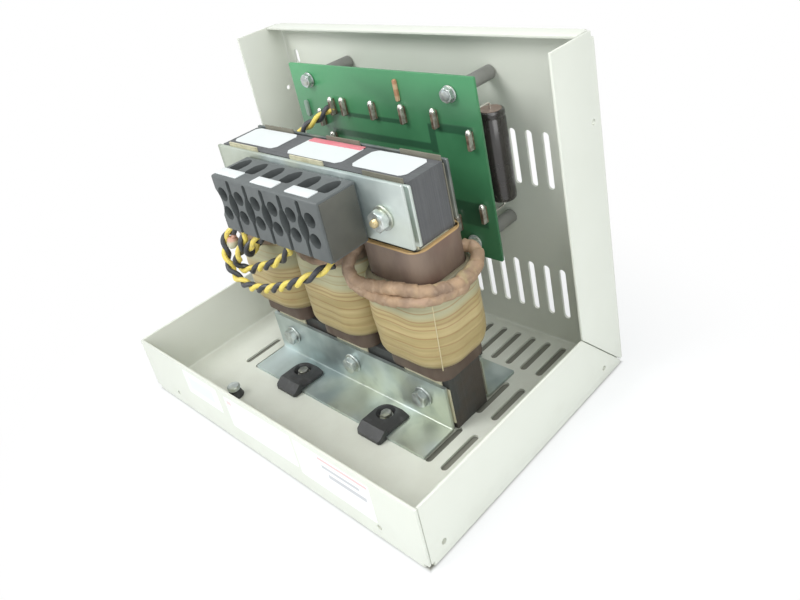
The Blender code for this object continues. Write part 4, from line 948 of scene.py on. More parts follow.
# %% Taped crossings on the other two coils
brown_tape = two_tone(
    "crossing_tape", "lead_tape", 0.62, (80, 3), (0.150, 0.110, 0.075), (0.330, 0.225, 0.155),
    ends=(0.3, 0.7), bumps=(160, 3, 0.0006, 0.9),
)
crossings = []
for x in (-59.0, 0.0):
    marks = [
        (x - 25.5, 10.0, 101.0), (x - 26.0, 2.0, 100.6), (x - 24.6, -7.0, 100.2), (x - 18.0, -15.6, 99.6),
        (x - 8.0, -19.0, 98.6), (x + 4.0, -19.4, 98.4), (x + 14.0, -17.4, 99.4), (x + 21.0, -11.5, 100.6),
        (x + 24.6, -3.0, 101.2), (x + 25.6, 8.0, 101.4),
    ]
    crossing = even(smooth_line(np.array(marks) * MM), 0.0006)
    run = travelled(crossing)
    wrap = laps(run)
    swell = 0.0006 * wrap * (1 - wrap**12) + 0.0003 * np.sin(run * 190 + x)[:, None]
    crossings.append(tube(crossing, 0.0034 + swell, 28))
piece("taped_crossings", crossings, brown_tape, (), 50)

# %% [markdown]
# A pale thread closes the paper's seam on the right coil, as a fine upright
# line round its front corner. It stands only a third of a millimetre proud,
# but a painted line would not catch the light.

# %% Seam thread of the right coil
t = np.linspace(-0.78, -0.70, 40)
height = np.linspace(0.0492, 0.0935, 40)
seam = np.stack([0.0688 + 0.0195 * np.cos(t), -0.0025 + 0.0195 * np.sin(t), height], 1)
pale_thread = two_tone("seam_thread", "label_white", 0.7, (600, 2), (0.50, 0.43, 0.25), (0.68, 0.61, 0.40))
piece("seam_thread", [tube(seam, 0.00030, 8)], pale_thread, (), 50)

# %% [markdown]
# The clamping plates and feet are zinc-plated sheet. Fresh zinc is a pale
# blue grey. The passivated film over it clouds in patches, from yellowish to
# blue, and dulls where hands have been. Plain metal would mirror the white
# studio evenly, so the patches are what makes it zinc. A pale patch on the
# right part of the plates in front of the yoke is a painted highlight, and a
# bright bluish patch at the left end of the feet is a painted reflection of
# the white studio.


# %% Zinc finishes
def zinc(name, light, dark, clouds):
    """Clouded zinc: two greys, a yellowish film in patches, a painted highlight, a painted reflection and a fine grain
    of the rolled sheet.
    """
    finish = Finish(name, "zinc", 0.35, Metallic=0.75)
    cloud = finish.at.noise(clouds, 3, rough=0.55)
    tone = cloud.smooth(0.35, 0.68).blend(dark, light)
    film = finish.at.noise(clouds * 0.6, 2).smooth(0.46, 0.66)
    tone = (film * 0.55).blend(tone, (0.48, 0.50, 0.36))
    haze = finish.at.noise(clouds * 0.9, 2, rough=0.4).smooth(0.36, 0.24)
    tone = (haze * 0.6).blend(tone, (0.62, 0.76, 0.78))
    spot = finish.at.noise(clouds * 1.4, 3).smooth(0.58, 0.74)
    tone = (spot * 0.45).blend(tone, (0.20, 0.23, 0.22))
    # Painted highlight: a pale patch on the right part of the plates in front of the yoke.
    near = finish.y.inside(-0.0179, -0.0105, 0.0002) * finish.z.smooth(0.100, 0.120)
    painted_highlight = finish.x.smooth(0.050, 0.076) * near * (0.4 + 0.6 * cloud)
    tone = (0.9 * painted_highlight).blend(tone, (0.74, 0.80, 0.75))
    # Painted reflection: a bright bluish patch at the left end of the feet, where the white studio would shine.
    painted_reflection = finish.x.smooth(-0.056, -0.070) * finish.z.smooth(0.010, 0.005)
    finish.feed("Base Color", (0.8 * painted_reflection).blend(tone, (0.74, 0.84, 0.86)))
    finish.feed("Roughness", 0.26 + 0.3 * cloud)
    finish.relief(finish.at.noise(700, 2) + 0.6 * cloud, 0.00008, 0.4)
    return finish


plate_zinc = zinc("plate_zinc", (0.56, 0.63, 0.62), (0.36, 0.43, 0.43), 34)
bolt_zinc = zinc("bolt_zinc", (0.66, 0.70, 0.68), (0.40, 0.43, 0.42), 160)
# A darker copy of the zinc: painted shade for the rear plate behind the yoke.
dull_zinc = zinc("dull_zinc", (0.24, 0.26, 0.26), (0.14, 0.16, 0.16), 50)
worn_zinc = zinc("worn_zinc", (0.36, 0.36, 0.34), (0.20, 0.20, 0.19), 300)

# %% [markdown]
# Flat plates clamp the upper yoke in front and behind, and a third one
# carries the terminal block. Each is a block with eased edges, because a
# sheared plate has them too, and they draw a bright line round it. The front
# plate reaches a little further right than its measured part. The rear plate
# takes a darker copy of the zinc, as painted shade behind the yoke.

# %% Clamping plates
PLATE_REACH = 0.0030
# The rear plate's darker zinc is painted shade.
plates = {"clamp_plate_front": plate_zinc, "clamp_plate_rear": dull_zinc, "terminal_plate": plate_zinc}
for node, finish in plates.items():
    low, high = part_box(node)
    end = high.x + (PLATE_REACH if node == "clamp_plate_front" else 0.0)
    piece("zinc_" + node, [slab(low, (end, high.y, high.z), 1, 0.0008, 0.00045, 5)], finish, (node,), 40)

# %% [markdown]
# A foot is a sheet folded into an L. Two joined blocks would show a hard
# inner corner, so the L's outline, with its bend, is carried along the foot.


# %% Folded feet
def folded_foot(name, side):
    """An L section with a bend of 3 mm, carried along the feet: foot, fold and upright flange."""
    low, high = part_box(name)
    thick, bend = 0.002, 0.003
    out = low.y if side < 0 else high.y
    fold = high.y if side < 0 else low.y
    t = np.linspace(0, np.pi / 2, 7)
    arc = np.stack([np.sin(t), 1 - np.cos(t)], 1)
    wide = np.column_stack([fold + side * (bend - bend * arc[:, 0]), low.z + bend * arc[:, 1]])
    inner_bend = bend - thick
    tight = np.column_stack(
        [fold + side * (bend - inner_bend * arc[:, 0]), low.z + thick + inner_bend * arc[:, 1]]
    )
    upright = [(fold, high.z), (fold + side * thick, high.z)]
    outline = np.vstack([[(out, low.z)], wide, upright, tight[::-1], [(out, low.z + thick)]])
    if side > 0:
        outline = outline[::-1]
    piece("zinc_" + name, [bar(outline, 0, low.x, high.x, 0.00045)], plate_zinc, (name,), 40)


folded_foot("bracket_front", -1)
folded_foot("bracket_rear", 1)

# %% [markdown]
# Insulating strips and air-gap spacers are pale board. Their part behind the
# yoke and their right ends below the top are painted dark as shade. Strips
# and spacers are flat sheets that the measured parts already give in full, so
# they keep those shapes and only get a finish. The two spacers between the
# plates are zinc, like the bolts.

# %% Strip board and small spacers
strip = Finish("strip_board", "strip_paper", 0.75)
pale_board = strip.at.noise(150, 4).smooth(0.3, 0.7).blend((0.50, 0.47, 0.33), (0.66, 0.63, 0.47))
# Painted shade: the strips are dark behind the yoke and at their right ends below the top.
shaded_right_end = strip.x.smooth(0.030, 0.036) * strip.z.smooth(0.1530, 0.1545)
painted_strip_shade = (strip.y.smooth(0.010, 0.013) + shaded_right_end).math("MINIMUM", 1.0)
strip.feed("Base Color", (0.85 * painted_strip_shade).blend(pale_board, (0.120, 0.115, 0.095)))
strip.feed("Roughness", 0.6 + 0.3 * strip.at.noise(400, 2))
strip.relief(strip.at.noise(1200, 2), 0.0001, 0.5)
flat_nodes = [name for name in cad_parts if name.startswith(("strip_", "gap_spacer_", "plate_spacer_"))]
for name in flat_nodes:
    finish = bolt_zinc if name.startswith("plate") else strip
    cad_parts[name].data.materials.clear()
    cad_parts[name].data.materials.append(finish.material)
print("strips and spacers:", len(flat_nodes))

# %% [markdown]
# Bolts and nuts show a chamfered hexagon, a spring washer and a plain
# washer. The radius of a hexagon at angle a is half its width over the
# cosine of the angle from the nearest flat, and a cone trims its corners.
# Six-sided cylinders would be quicker, but a nut without its chamfer looks
# like a toy.


# %% Hexagons, washers and threads
def hexagon(across_flats, start, end, centre, axis, sign, turn=0.0, bore=0.0):
    """Radius = min(flat radius, share * corner radius): the share falls near the outer face, which cuts the chamfer."""
    angle = np.linspace(0, 2 * np.pi, 72, endpoint=False) + 1e-3
    flat = across_flats / 2 / np.cos((angle + turn) % (np.pi / 3) - np.pi / 6)
    tall, corner = end - start, across_flats / math.sqrt(3)
    steps = [
        (start, 0.93), (start + 0.08 * tall, 1.0), (end - 0.22 * tall, 1.0), (end - 0.08 * tall, 0.93), (end, 0.84),
    ]
    rings = np.empty((len(steps) + 1 + (bore > 0), 72, 3))
    others = [k for k in range(3) if k != axis]
    steps.append((end, 0.55) if bore == 0.0 else (end, None))
    if bore:
        steps.append((start, None))
    for ring, (level, share) in zip(rings, steps):
        radius = np.full(72, bore) if share is None else np.minimum(flat, share * corner)
        ring[:, others[0]] = radius * np.cos(angle)
        ring[:, others[1]] = radius * np.sin(angle)
        ring[:, axis] = sign * level
    return loft(rings + np.asarray(centre, float), bore > 0)


def washer(outer, inner, start, end, centre, axis, sign):
    """A flat ring with eased edges."""
    ease = min(0.00025, (end - start) / 3)
    profile = [
        (inner, start), (outer - ease, start), (outer, start + ease), (outer, end - ease),
        (outer - ease, end), (inner, end),
    ]
    return turned(profile, centre, axis, sign, 40, True)


def thread(radius, start, end, centre, axis, sign, pitch=0.0008):
    """Radius falls and rises with height less the angle's share of a turn, so the ridge climbs as a helix."""
    steps = max(8, int((end - start) / pitch * 8))
    level = np.linspace(start, end, steps)[:, None]
    angle = np.linspace(0, 2 * np.pi, 32, endpoint=False)[None, :]
    ridge = np.abs(((level / pitch - angle / (2 * np.pi)) % 1.0) * 2 - 1)
    fade = np.clip((end - level) / (0.7 * pitch), 0.0, 1.0)
    size = radius - 0.00045 * ridge - 0.0004 * (1 - fade)
    rings = np.empty((steps, 32, 3))
    others = [k for k in range(3) if k != axis]
    rings[..., others[0]] = size * np.cos(angle)
    rings[..., others[1]] = size * np.sin(angle)
    rings[..., axis] = sign * level
    return loft(rings + np.asarray(centre, float))


# %% [markdown]
# Three bolts clamp the lower core between the feet, and two clamp the upper
# yoke between the plates. Along the lower core each hexagon is turned to its
# own angle, which follows its place, because hands don't stop a spanner twice
# at the same angle. The two upper nuts are set where the photograph shows
# them.


# %% Bolts through the lower core
def centre_of(node):
    """The middle of a measured part's box."""
    low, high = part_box(node)
    return (low + high) / 2


for side, x in COILS.items():
    mid = centre_of("lower_bolt_" + side)
    at = (mid.x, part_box("bracket_front")[1].y - 0.002, mid.z)
    shapes = [washer(0.0062, 0.002, 0.0001, 0.0012, at, 1, -1), washer(0.0046, 0.002, 0.0012, 0.0022, at, 1, -1)]
    shapes += [hexagon(0.0092, 0.0022, 0.0051, at, 1, -1, x * 40 + 0.3)]
    piece("yoke_bolt_lower_" + side, shapes, bolt_zinc, ("lower_bolt_" + side,), 30)
    at = (mid.x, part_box("bracket_rear")[0].y + 0.002, mid.z)
    shapes = [washer(0.0062, 0.002, 0.0001, 0.0012, at, 1, 1)]
    shapes += [hexagon(0.0095, 0.0013, 0.0052, at, 1, 1, 0.2 - x * 30, 0.0022), thread(0.0024, 0.0, 0.0082, at, 1, 1)]
    piece("yoke_nut_lower_" + side, shapes, bolt_zinc, ("lower_nut_" + side,), 30)


# %% Bolts through the upper yoke
def upper_nut_place(side):
    """Where an upper nut sits: a little outside and above the middle of its measured part."""
    mid = centre_of("upper_nut_" + side)
    return mid.x * 1.06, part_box("upper_nut_" + side)[1].y, mid.z + 0.001


for side in ("left", "right"):
    x, y, z = upper_nut_place(side)
    at = (x, y + 0.0002, z)
    shapes = [washer(0.0068, 0.002, 0.0, 0.0011, at, 1, -1), washer(0.0052, 0.002, 0.0011, 0.0022, at, 1, -1)]
    shapes += [hexagon(0.0104, 0.0022, 0.0058, at, 1, -1, 0.35, 0.0022)]
    piece("yoke_nut_upper_" + side, shapes, bolt_zinc, ("upper_nut_" + side,), 30)
    mid = centre_of("upper_bolt_" + side)
    at = (mid.x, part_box("clamp_plate_rear")[1].y, mid.z)
    shapes = [washer(0.0062, 0.002, 0.0002, 0.0014, at, 1, 1), hexagon(0.0095, 0.0014, 0.0048, at, 1, 1, 0.5)]
    piece("yoke_bolt_upper_" + side, shapes, bolt_zinc, ("upper_bolt_" + side,), 30)

# %% [markdown]
# The bolts' own ends stand out of the upper nuts. Their plating is yellower
# than the nuts', so they are pieces of their own, with a real thread: the
# ridge is seen from the side, where bump would leave a smooth outline.

# %% Brassy ends of the upper bolts
brass = two_tone(
    "bolt_end", "zinc", 0.4, (500, 3), (0.50, 0.40, 0.20), (0.72, 0.62, 0.40),
    bumps=(900, 2, 0.0001, 0.5), Metallic=0.8,
)
for side in ("left", "right"):
    piece("bolt_end_" + side, [thread(0.0023, 0.0, 0.0079, upper_nut_place(side), 1, -1)], brass, (), 30)

# %% [markdown]
# Four black clamps hold the feet to the floor. Each is a small block with one
# round corner, black and slightly worn. It is cut away under the foot, slopes
# down at its nose and along one side, and the head of its bolt sits low in a
# bowl. A loft has no room for such cuts, so an outline is carried upwards
# first and closed helper shapes take away what the real one lacks.

# %% Black clamps
black_steel = Finish("clamp_black", "black_steel", 0.45, Coat_Weight=0.1)
worn = black_steel.at.noise(180, 4).smooth(0.5, 0.75)
black_steel.feed("Base Color", worn.blend((0.032, 0.033, 0.034), (0.058, 0.059, 0.061)))
black_steel.feed("Roughness", 0.35 + 0.3 * black_steel.at.noise(300, 2))
black_steel.relief(black_steel.at.noise(900, 3), 0.00015, 0.6)


def around(shape, turn, place):
    """A shape turned about z by half turns, and moved to its place."""
    points, faces = shape
    return points * (turn, turn, 1.0) + np.asarray(place, float), faces


def toe_clamp(name, shift):
    """A plan outline carried upwards, undercut over the foot, with a sloped nose and side and a bowl for the bolt."""
    low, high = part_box("toe_clamp_" + name)
    mid = centre_of("toe_bolt_" + name)
    turn = 1 if mid.y < 0 else -1
    place = (mid.x + shift, mid.y, 0.0)
    toe, top = -0.0192, high.z
    t = np.linspace(np.pi / 2, np.pi, 9)
    arc = np.column_stack([-0.0014 + 0.0080 * np.cos(t), -0.0029 + 0.0080 * np.sin(t)])
    straight = [(-0.0094, toe + 0.0012), (-0.0082, toe), (0.0082, toe), (0.0094, toe + 0.0012)]
    plan = np.vstack([[(0.0100, 0.0055)], arc, straight])
    start = mesh_of("toe", [around(bar(plan, 2, low.z, top, 0.0005, 5), turn, place)])
    step = abs(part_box("bracket_" + name.split("_")[0])[0 if turn > 0 else 1].y - mid.y)
    under = slab((-0.02, -step - 0.0003, low.z - 0.002), (0.02, 0.02, 0.0041), 2, 0.0002, 0.00001)
    nose_side = np.array([(-0.0135, top + 0.0001), (-0.030, top + 0.008), (-0.030, low.z - 0.0052)])
    nose = bar(nose_side, 0, -0.02, 0.02, 1e-5, 2)
    slope_end = np.array([(0.0044, top + 0.0001), (0.020, top - 0.0072), (0.020, top + 0.006)])
    slope = bar(slope_end, 1, toe + 0.0075, 0.02, 1e-5, 2)
    hollow = [(0.0002, 0.0), (0.0044, 0.0), (0.0058, 0.0030), (0.0068, 0.0052), (0.0002, 0.0052)]
    bowl = turned(hollow, (-0.0014, -0.0016, top - 0.0030), 2, 1, 40)
    tools = [helper("toe_cut", [around(shape, turn, place)]) for shape in (under, nose, slope, bowl)]
    settle("black_clamp_" + name, cut(start, [], tools), black_steel, ("toe_clamp_" + name,), 35)
    at = (place[0] - 0.0014 * turn, place[1] - 0.0016 * turn, top - 0.0034)
    bolt = [washer(0.0041, 0.0010, 0.0002, 0.0008, at, 2, 1), hexagon(0.0060, 0.0008, 0.0032, at, 2, 1, mid.x * 50)]
    bolt += [thread(0.002, -0.0045, 0.0005, at, 2, 1, 0.0007)]
    piece("clamp_bolt_" + name, bolt, worn_zinc, ("toe_bolt_" + name,), 30)


for name, shift in (("front_left", 0.0018), ("front_right", 0.0), ("rear_left", 0.0), ("rear_right", 0.0)):
    toe_clamp(name, shift)

# %% [markdown]
# The terminal block is moulded in dark grey plastic, dull and slightly
# grained. Its end plate is a separate piece and a shade browner, so both
# finishes come from one function with two pairs of colours.

# %% Dark moulded plastic
def moulded(name, light, dark):
    """Dull moulded plastic with a fine grain."""
    finish = Finish(name, "block_plastic", 0.5)
    cloudy = finish.at.noise(40, 3).smooth(0.3, 0.7)
    finish.feed("Base Color", cloudy.blend(dark, light))
    finish.feed("Roughness", 0.42 + 0.2 * finish.at.noise(250, 3))
    finish.relief(finish.at.noise(2200, 2), 0.00005, 0.6)
    return finish


plastic = moulded("block_plastic", (0.112, 0.124, 0.124), (0.088, 0.098, 0.099))
end_plastic = moulded("block_end_plate", (0.098, 0.098, 0.082), (0.070, 0.072, 0.062))

# %% [markdown]
# The block starts as one bar with eased edges. Straight grooves and
# lens-shaped waists part its six poles, two rows of round entries take the
# wires, and a well on top lets a screwdriver reach each clamping screw. Six
# separate poles could be set side by side, but the real block is one
# moulding, and cuts in one bar keep its back and its ends whole.

# %% Where the cuts of the block are
low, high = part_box("terminal_block")
pitch = (high.x - low.x) / 6
poles = low.x + pitch * (np.arange(6) + 0.5)
joints = low.x + pitch * np.arange(1, 6)
rows = (low.z + high.z) / 2 + 0.0004 + np.array([-0.0058, 0.0058])
grooves = [(x, low.y, (low.z - 0.002 + high.z - 0.0018) / 2) for x in joints]
waists = [(x, low.y, rows.mean()) for x in (*joints, low.x)]
entries = [(x - 0.0006, low.y, z) for x in poles for z in rows]
WELL_FROM_BACK = 0.0098
wells = [(x, high.y - WELL_FROM_BACK, high.z) for x in poles]
print("poles:", len(poles), "entries:", len(entries))

# %% Mould the terminal block
groove = np.array([
    (-0.0013, -0.0172), (0.0013, -0.0172), (0.0016, 0.0162), (0.0009, 0.0176), (-0.0009, 0.0176), (-0.0016, 0.0162),
])
t = np.linspace(-1, 1, 13)
bow = np.stack([0.0038 * (1 - t**2) + 0.00005, 0.0092 * t], 1)
well = np.array([
    (-0.0044, -0.0048), (-0.0030, -0.0063), (0.0030, -0.0063), (0.0044, -0.0050), (0.0046, 0.0014),
    (0.0030, 0.0048), (0.0010, 0.0067), (-0.0008, 0.0067), (-0.0030, 0.0048), (-0.0046, 0.0014),
])
tools = [
    cutter("grooves", groove, 1, grooves, 0.0045),
    cutter("waists", np.vstack([bow, -bow]), 1, waists, 0.0050),
    cutter("entries", rounded(0.0041, 0.0043, 0.00409, 9), 1, entries, 0.0062),
    cutter("wells", well, 2, wells, 0.0110),
]
block_start = mesh_of("block", [slab(low, high, 0, 0.0012, 0.0008, 5)])
settle("moulded_block", cut(block_start, [], tools), plastic, ("terminal_block",), 30)
end_low = (high.x - 0.0004, low.y + 0.0014, low.z + 0.0012)
end_high = (high.x + 0.0006, high.y - 0.0012, high.z - 0.0014)
piece("block_end_plate", [slab(end_low, end_high, 0, 0.0008, 0.0003)], end_plastic, (), 35)

# %% [markdown]
# A clamping screw lies deep in each well, so dark that only its presence
# shows. A turned disc with an eased rim is all that can be seen of it.

# %% Clamping screws inside the block
screw_steel = two_tone(
    "screw_steel", "zinc", 0.45, (300, 2), (0.06, 0.06, 0.06), (0.14, 0.14, 0.13), Metallic=0.4
)
screw = [(0.0005, 0.0), (0.0026, 0.0), (0.0026, 0.003), (0.0022, 0.0034), (0.0004, 0.0034)]
screw_places = [(x, high.y - WELL_FROM_BACK, high.z - 0.0112) for x in poles]
piece("block_screws", [turned(screw, place, 2, 1, 20) for place in screw_places], screw_steel, (), 30)

# %% [markdown]
# White paper labels lie on the yoke, and white marker strips along the front
# of the block's top. Paper is not quite flat, so its height waves slowly. All
# of them stay bare. An image could colour them, but nothing is printed here
# that would need one.

# %% Paper of the labels
label = Finish("label_paper", "label_white", 0.55)
label.feed("Base Color", label.at.noise(60, 2).blend((0.655, 0.695, 0.70), (0.72, 0.75, 0.75)))
label.feed("Roughness", 0.45 + 0.2 * label.at.noise(300, 2))
label.relief(label.at.noise(80, 2), 0.0001, 0.4)


def clipped(half_a, half_b, clip):
    """A rectangle with its corners cut off."""
    return rounded(half_a, half_b, clip, 2)


def yoke_label(name, left, right_edge, near, far, lift=0.00012):
    """A thin sheet on the upper yoke, with clipped corners and a slow wave in its height."""
    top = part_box("core_upper_yoke")[1].z
    outline = evened(clipped((right_edge - left) / 2, (far - near) / 2, 0.0028), 64)
    outline = outline + ((left + right_edge) / 2, (near + far) / 2)
    wave = 0.00008 * (1 + np.sin(outline[:, 0] * 190 + outline[:, 1] * 260))
    rings = np.array([levelled(outline, top + 0.00002), levelled(outline, top + lift + wave)])
    return loft(rings)


labels = [
    yoke_label("left", -0.0750, -0.0338, -0.0048, 0.0156),
    yoke_label("middle", -0.0215, 0.0246, -0.0060, 0.0157),
    yoke_label("right", 0.0322, 0.0715, -0.0052, 0.0150),
]
for left, end in ((-0.0400, -0.0196), (-0.0067, 0.0127), (0.0229, 0.0422)):
    labels.append(slab((left, -0.0415, high.z - 0.0002), (end, -0.0345, high.z + 0.0005), 2, 0.0008, 0.0002))
piece("paper_labels", labels, label, (), 35)

# %% [markdown]
# Three labels sit on the front wall. They are thin sheets, two of them a
# little turned, as labels stuck on by hand are. Plain fields of colour stand
# where the real ones are printed. Each field is 1 between two values of x
# and of z.

# %% Finish of the front labels
front_label = Finish("front_label", "label_white", 0.5)
fx, fz = front_label.x, front_label.z
paper_white = front_label.at.noise(60, 2).blend((0.82, 0.85, 0.85), (0.88, 0.90, 0.89))
red_edge = fx.inside(0.0560, 0.0925, 0.0003) * fz.inside(0.0334, 0.0349, 0.0003)
grey_field = fx.inside(0.0620, 0.0900, 0.0004) * fz.inside(0.0235, 0.0262, 0.0003)
grey_field = grey_field + fx.inside(0.0580, 0.0860, 0.0004) * fz.inside(0.0285, 0.0305, 0.0003)
pale_field = fx.inside(-0.0690, -0.0420, 0.0006) * fz.inside(0.0240, 0.0335, 0.0006)
pale_field = pale_field + fx.inside(-0.0180, 0.0020, 0.0006) * fz.inside(0.0180, 0.0290, 0.0006) * 0.5
red_spot = fx.inside(-0.0262, -0.0215, 0.0003) * fz.inside(0.0312, 0.0340, 0.0003)
colour = (0.7 * red_edge + 0.5 * red_spot).blend(paper_white, (0.72, 0.36, 0.36))
colour = (0.5 * grey_field).blend(colour, (0.22, 0.20, 0.25))
front_label.feed("Base Color", (0.25 * pale_field).blend(colour, (0.42, 0.44, 0.50)))
front_label.feed("Roughness", 0.4 + 0.2 * front_label.at.noise(300, 2))


# %% Labels of the front wall
def wall_label(left, end, bottom, top, tilt):
    """A thin sheet on the front wall, turned a little about its middle."""
    outline = rounded((end - left) / 2, (top - bottom) / 2, 0.0008, 4)
    c, s = math.cos(tilt), math.sin(tilt)
    outline = outline @ np.array([[c, s], [-s, c]]) + ((left + end) / 2, (bottom + top) / 2)
    return bar(outline, 1, -0.08698, -0.08685, 0.00003, 2)


wall_labels = [
    wall_label(-0.0735, -0.0360, 0.0195, 0.0370, 0.0),
    wall_label(-0.0280, 0.0340, 0.0146, 0.0365, 0.02),
    wall_label(0.0362, 0.0936, 0.0122, 0.0362, -0.01),
]
piece("front_wall_labels", wall_labels, front_label, (), 35)

# %% [markdown]
# The middle label of the yoke has a red band along its far edge. It could be
# a mask on the paper, but as a sheet of its own it keeps a crisp edge from
# every side.

# %% Red band of the middle label
red_band = two_tone("red_band", "label_white", 0.5, (90, 3), (0.60, 0.13, 0.17), (0.68, 0.26, 0.29))
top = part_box("core_upper_yoke")[1].z
band = slab((-0.0203, 0.0110, top + 0.0002), (0.0240, 0.0155, top + 0.00042), 2, 0.0006, 0.00005)
piece("label_band", [band], red_band)

# %% [markdown]
# The circuit board is green laminate. Its copper runs show through the
# lacquer as darker bands. They are masks on the board's own coordinates, and
# raised a little by bump, because copper under lacquer is hardly thicker
# than the lacquer itself. Its top edge and upper left corner are painted
# lighter, as light falling on them, and its lower part is painted darker, as
# the shade behind the reactor.

# %% Green lacquer
green = Finish("board_green", "board_green", 0.3, Coat_Weight=0.3, Coat_Roughness=0.25)
gx, gz = green.x, green.z
copper = [
    (-0.0450, 0.0200, 0.1532, 0.1560, 0.0006), (-0.0470, 0.0400, 0.1395, 0.1440, 0.0008),
    (0.0375, 0.0425, 0.1385, 0.1560, 0.0008), (0.0400, 0.0700, 0.1520, 0.1570, 0.0008),
    (0.0430, 0.0700, 0.0960, 0.1110, 0.0008), (-0.0700, -0.0300, 0.0900, 0.1300, 0.0008),
]
masks = [gx.inside(left, end, 0.0006) * gz.inside(foot, head, soft) for left, end, foot, head, soft in copper]
runs = sum(masks[1:], masks[0]).math("MINIMUM", 1.0)
weave = green.at.noise(500, 2, (1.0, 1.0, 1.0))
base = green.at.noise(22, 3).smooth(0.3, 0.7).blend((0.036, 0.150, 0.066), (0.060, 0.215, 0.100))
# Painted light: the top edge and the upper left corner are lighter green.
lit_top_edge = 0.5 * gz.smooth(0.162, 0.186)
corner = (gz.smooth(0.135, 0.185) * gx.smooth(0.030, -0.076)).math("MAXIMUM", lit_top_edge)
base = (0.8 * corner).blend(base, (0.080, 0.400, 0.160))
# Painted shade: the lower part of the board is darker, behind the reactor.
base = (0.5 * gz.smooth(0.120, 0.085)).blend(base, (0.030, 0.115, 0.055))
green.feed("Base Color", (0.8 * runs).blend(base, (0.018, 0.068, 0.036)))
green.feed("Roughness", 0.26 + 0.2 * weave)
green.relief(runs * 0.6 + 0.15 * weave, 0.0002, 0.6)
low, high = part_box("circuit_board")
board_y = (0.0507, 0.0523)
board = slab((low.x, board_y[0], low.z), (high.x, board_y[1], high.z), 1, 0.0008, 0.00015)
piece("green_board", [board], green, ("circuit_board",), 35)

# %% [markdown]
# Blade terminals stand along the runs, brown below, with a painted highlight
# as a lighter strip down one edge, and a bright bead of solder on top. Stems,
# highlight strips and beads are three pieces, because each has a finish of
# its own. All ten blades share them, which keeps the list of pieces short.

# %% Finishes of the blades
tin = two_tone(
    "blade_solder", "zinc", 0.25, (700, 3), (0.62, 0.58, 0.52), (0.88, 0.87, 0.83),
    bumps=(900, 2, 0.0003, 0.8), Metallic=0.85,
)
stem = two_tone(
    "blade_stem", "zinc", 0.45, (300, 3), (0.130, 0.085, 0.055), (0.330, 0.250, 0.180),
    ends=(0.35, 0.7), bumps=(900, 2, 0.0002, 0.8), Metallic=0.4,
)
# Painted highlight: a lighter strip down one edge of each stem.
painted_highlight_tin = two_tone(
    "blade_edge", "zinc", 0.4, (400, 3), (0.28, 0.24, 0.20), (0.52, 0.50, 0.45), ends=(0.3, 0.7), Metallic=0.5
)

# %% Blade terminals
blade_places = [
    (36.1, 19.7), (46.8, 19.0), (72.7, 19.0), (97.3, 19.0), (121.7, 19.0),
    (145.0, 29.0), (23.5, 28.0), (30.6, 43.0), (125.6, 82.5), (145.8, 73.0),
]
front_y, rear_y = board_y
dome = np.linspace(0, 1, 6)
bead = [(0.0016, -0.0006), *np.column_stack([0.0016 * np.sqrt(1 - dome**2) + 0.0001, 0.0024 * dome])]
joint = [(0.0021, 0.0), (0.0017, 0.0006), (0.0009, 0.0012), (0.0002, 0.0014)]
stems, edges, tips = [], [], []
for from_left, from_top in blade_places:
    x, z = low.x + from_left * MM, high.z - from_top * MM
    stem_ends = (x - 0.0013, front_y - 0.0036, z - 0.0115), (x + 0.0013, front_y + 0.0004, z - 0.0012)
    stems.append(slab(*stem_ends, 1, 0.0006, 0.0004))
    # The lighter strip down the stem's edge is a painted highlight.
    highlight_ends = (x + 0.0008, front_y - 0.0039, z - 0.0110), (x + 0.0015, front_y - 0.0012, z - 0.0016)
    edges.append(slab(*highlight_ends, 1, 0.0003, 0.0002))
    tips.append(turned(bead, (x, front_y - 0.0022, z - 0.0018), 2, 1, 16))
    tips.append(turned(joint, (x, rear_y, z - 0.004), 1, 1, 16))
piece("blade_stems", stems, stem, (), 35)
piece("blade_tips", tips, tin, (), 50)
piece("blade_edges", edges, painted_highlight_tin, (), 35)

# %% [markdown]
# Two small parts lie flat on the board: a tan resistor with faint rings and
# a grey-green part near the left edge. Small blocks with round ends are
# enough at their size.

# %% Small parts of the board
resistor = Finish("tan_resistor", "board_green", 0.5)
rings = (resistor.z * 900).math("SINE").smooth(-0.2, 0.6)
resistor.feed("Base Color", rings.blend((0.42, 0.22, 0.12), (0.52, 0.36, 0.22)))
body = slab((0.0175, front_y - 0.0018, 0.1675), (0.0200, front_y + 0.0003, 0.1805), 1, 0.0010, 0.0006)
piece("board_resistor", [body], resistor, (), 35)
varistor = two_tone("grey_part", "board_green", 0.4, (200, 2), (0.20, 0.30, 0.24), (0.34, 0.42, 0.36))
body = slab((-0.0690, front_y - 0.0016, 0.1500), (-0.0655, front_y + 0.0003, 0.1610), 1, 0.0016, 0.0006)
piece("board_part", [body], varistor, (), 35)

# %% [markdown]
# Grey posts hold the board off the back panel, and a zinc screw with a
# domed hexagon head holds each corner. Posts, washers and crowns are all
# round, so each is a short profile turned about its axis.

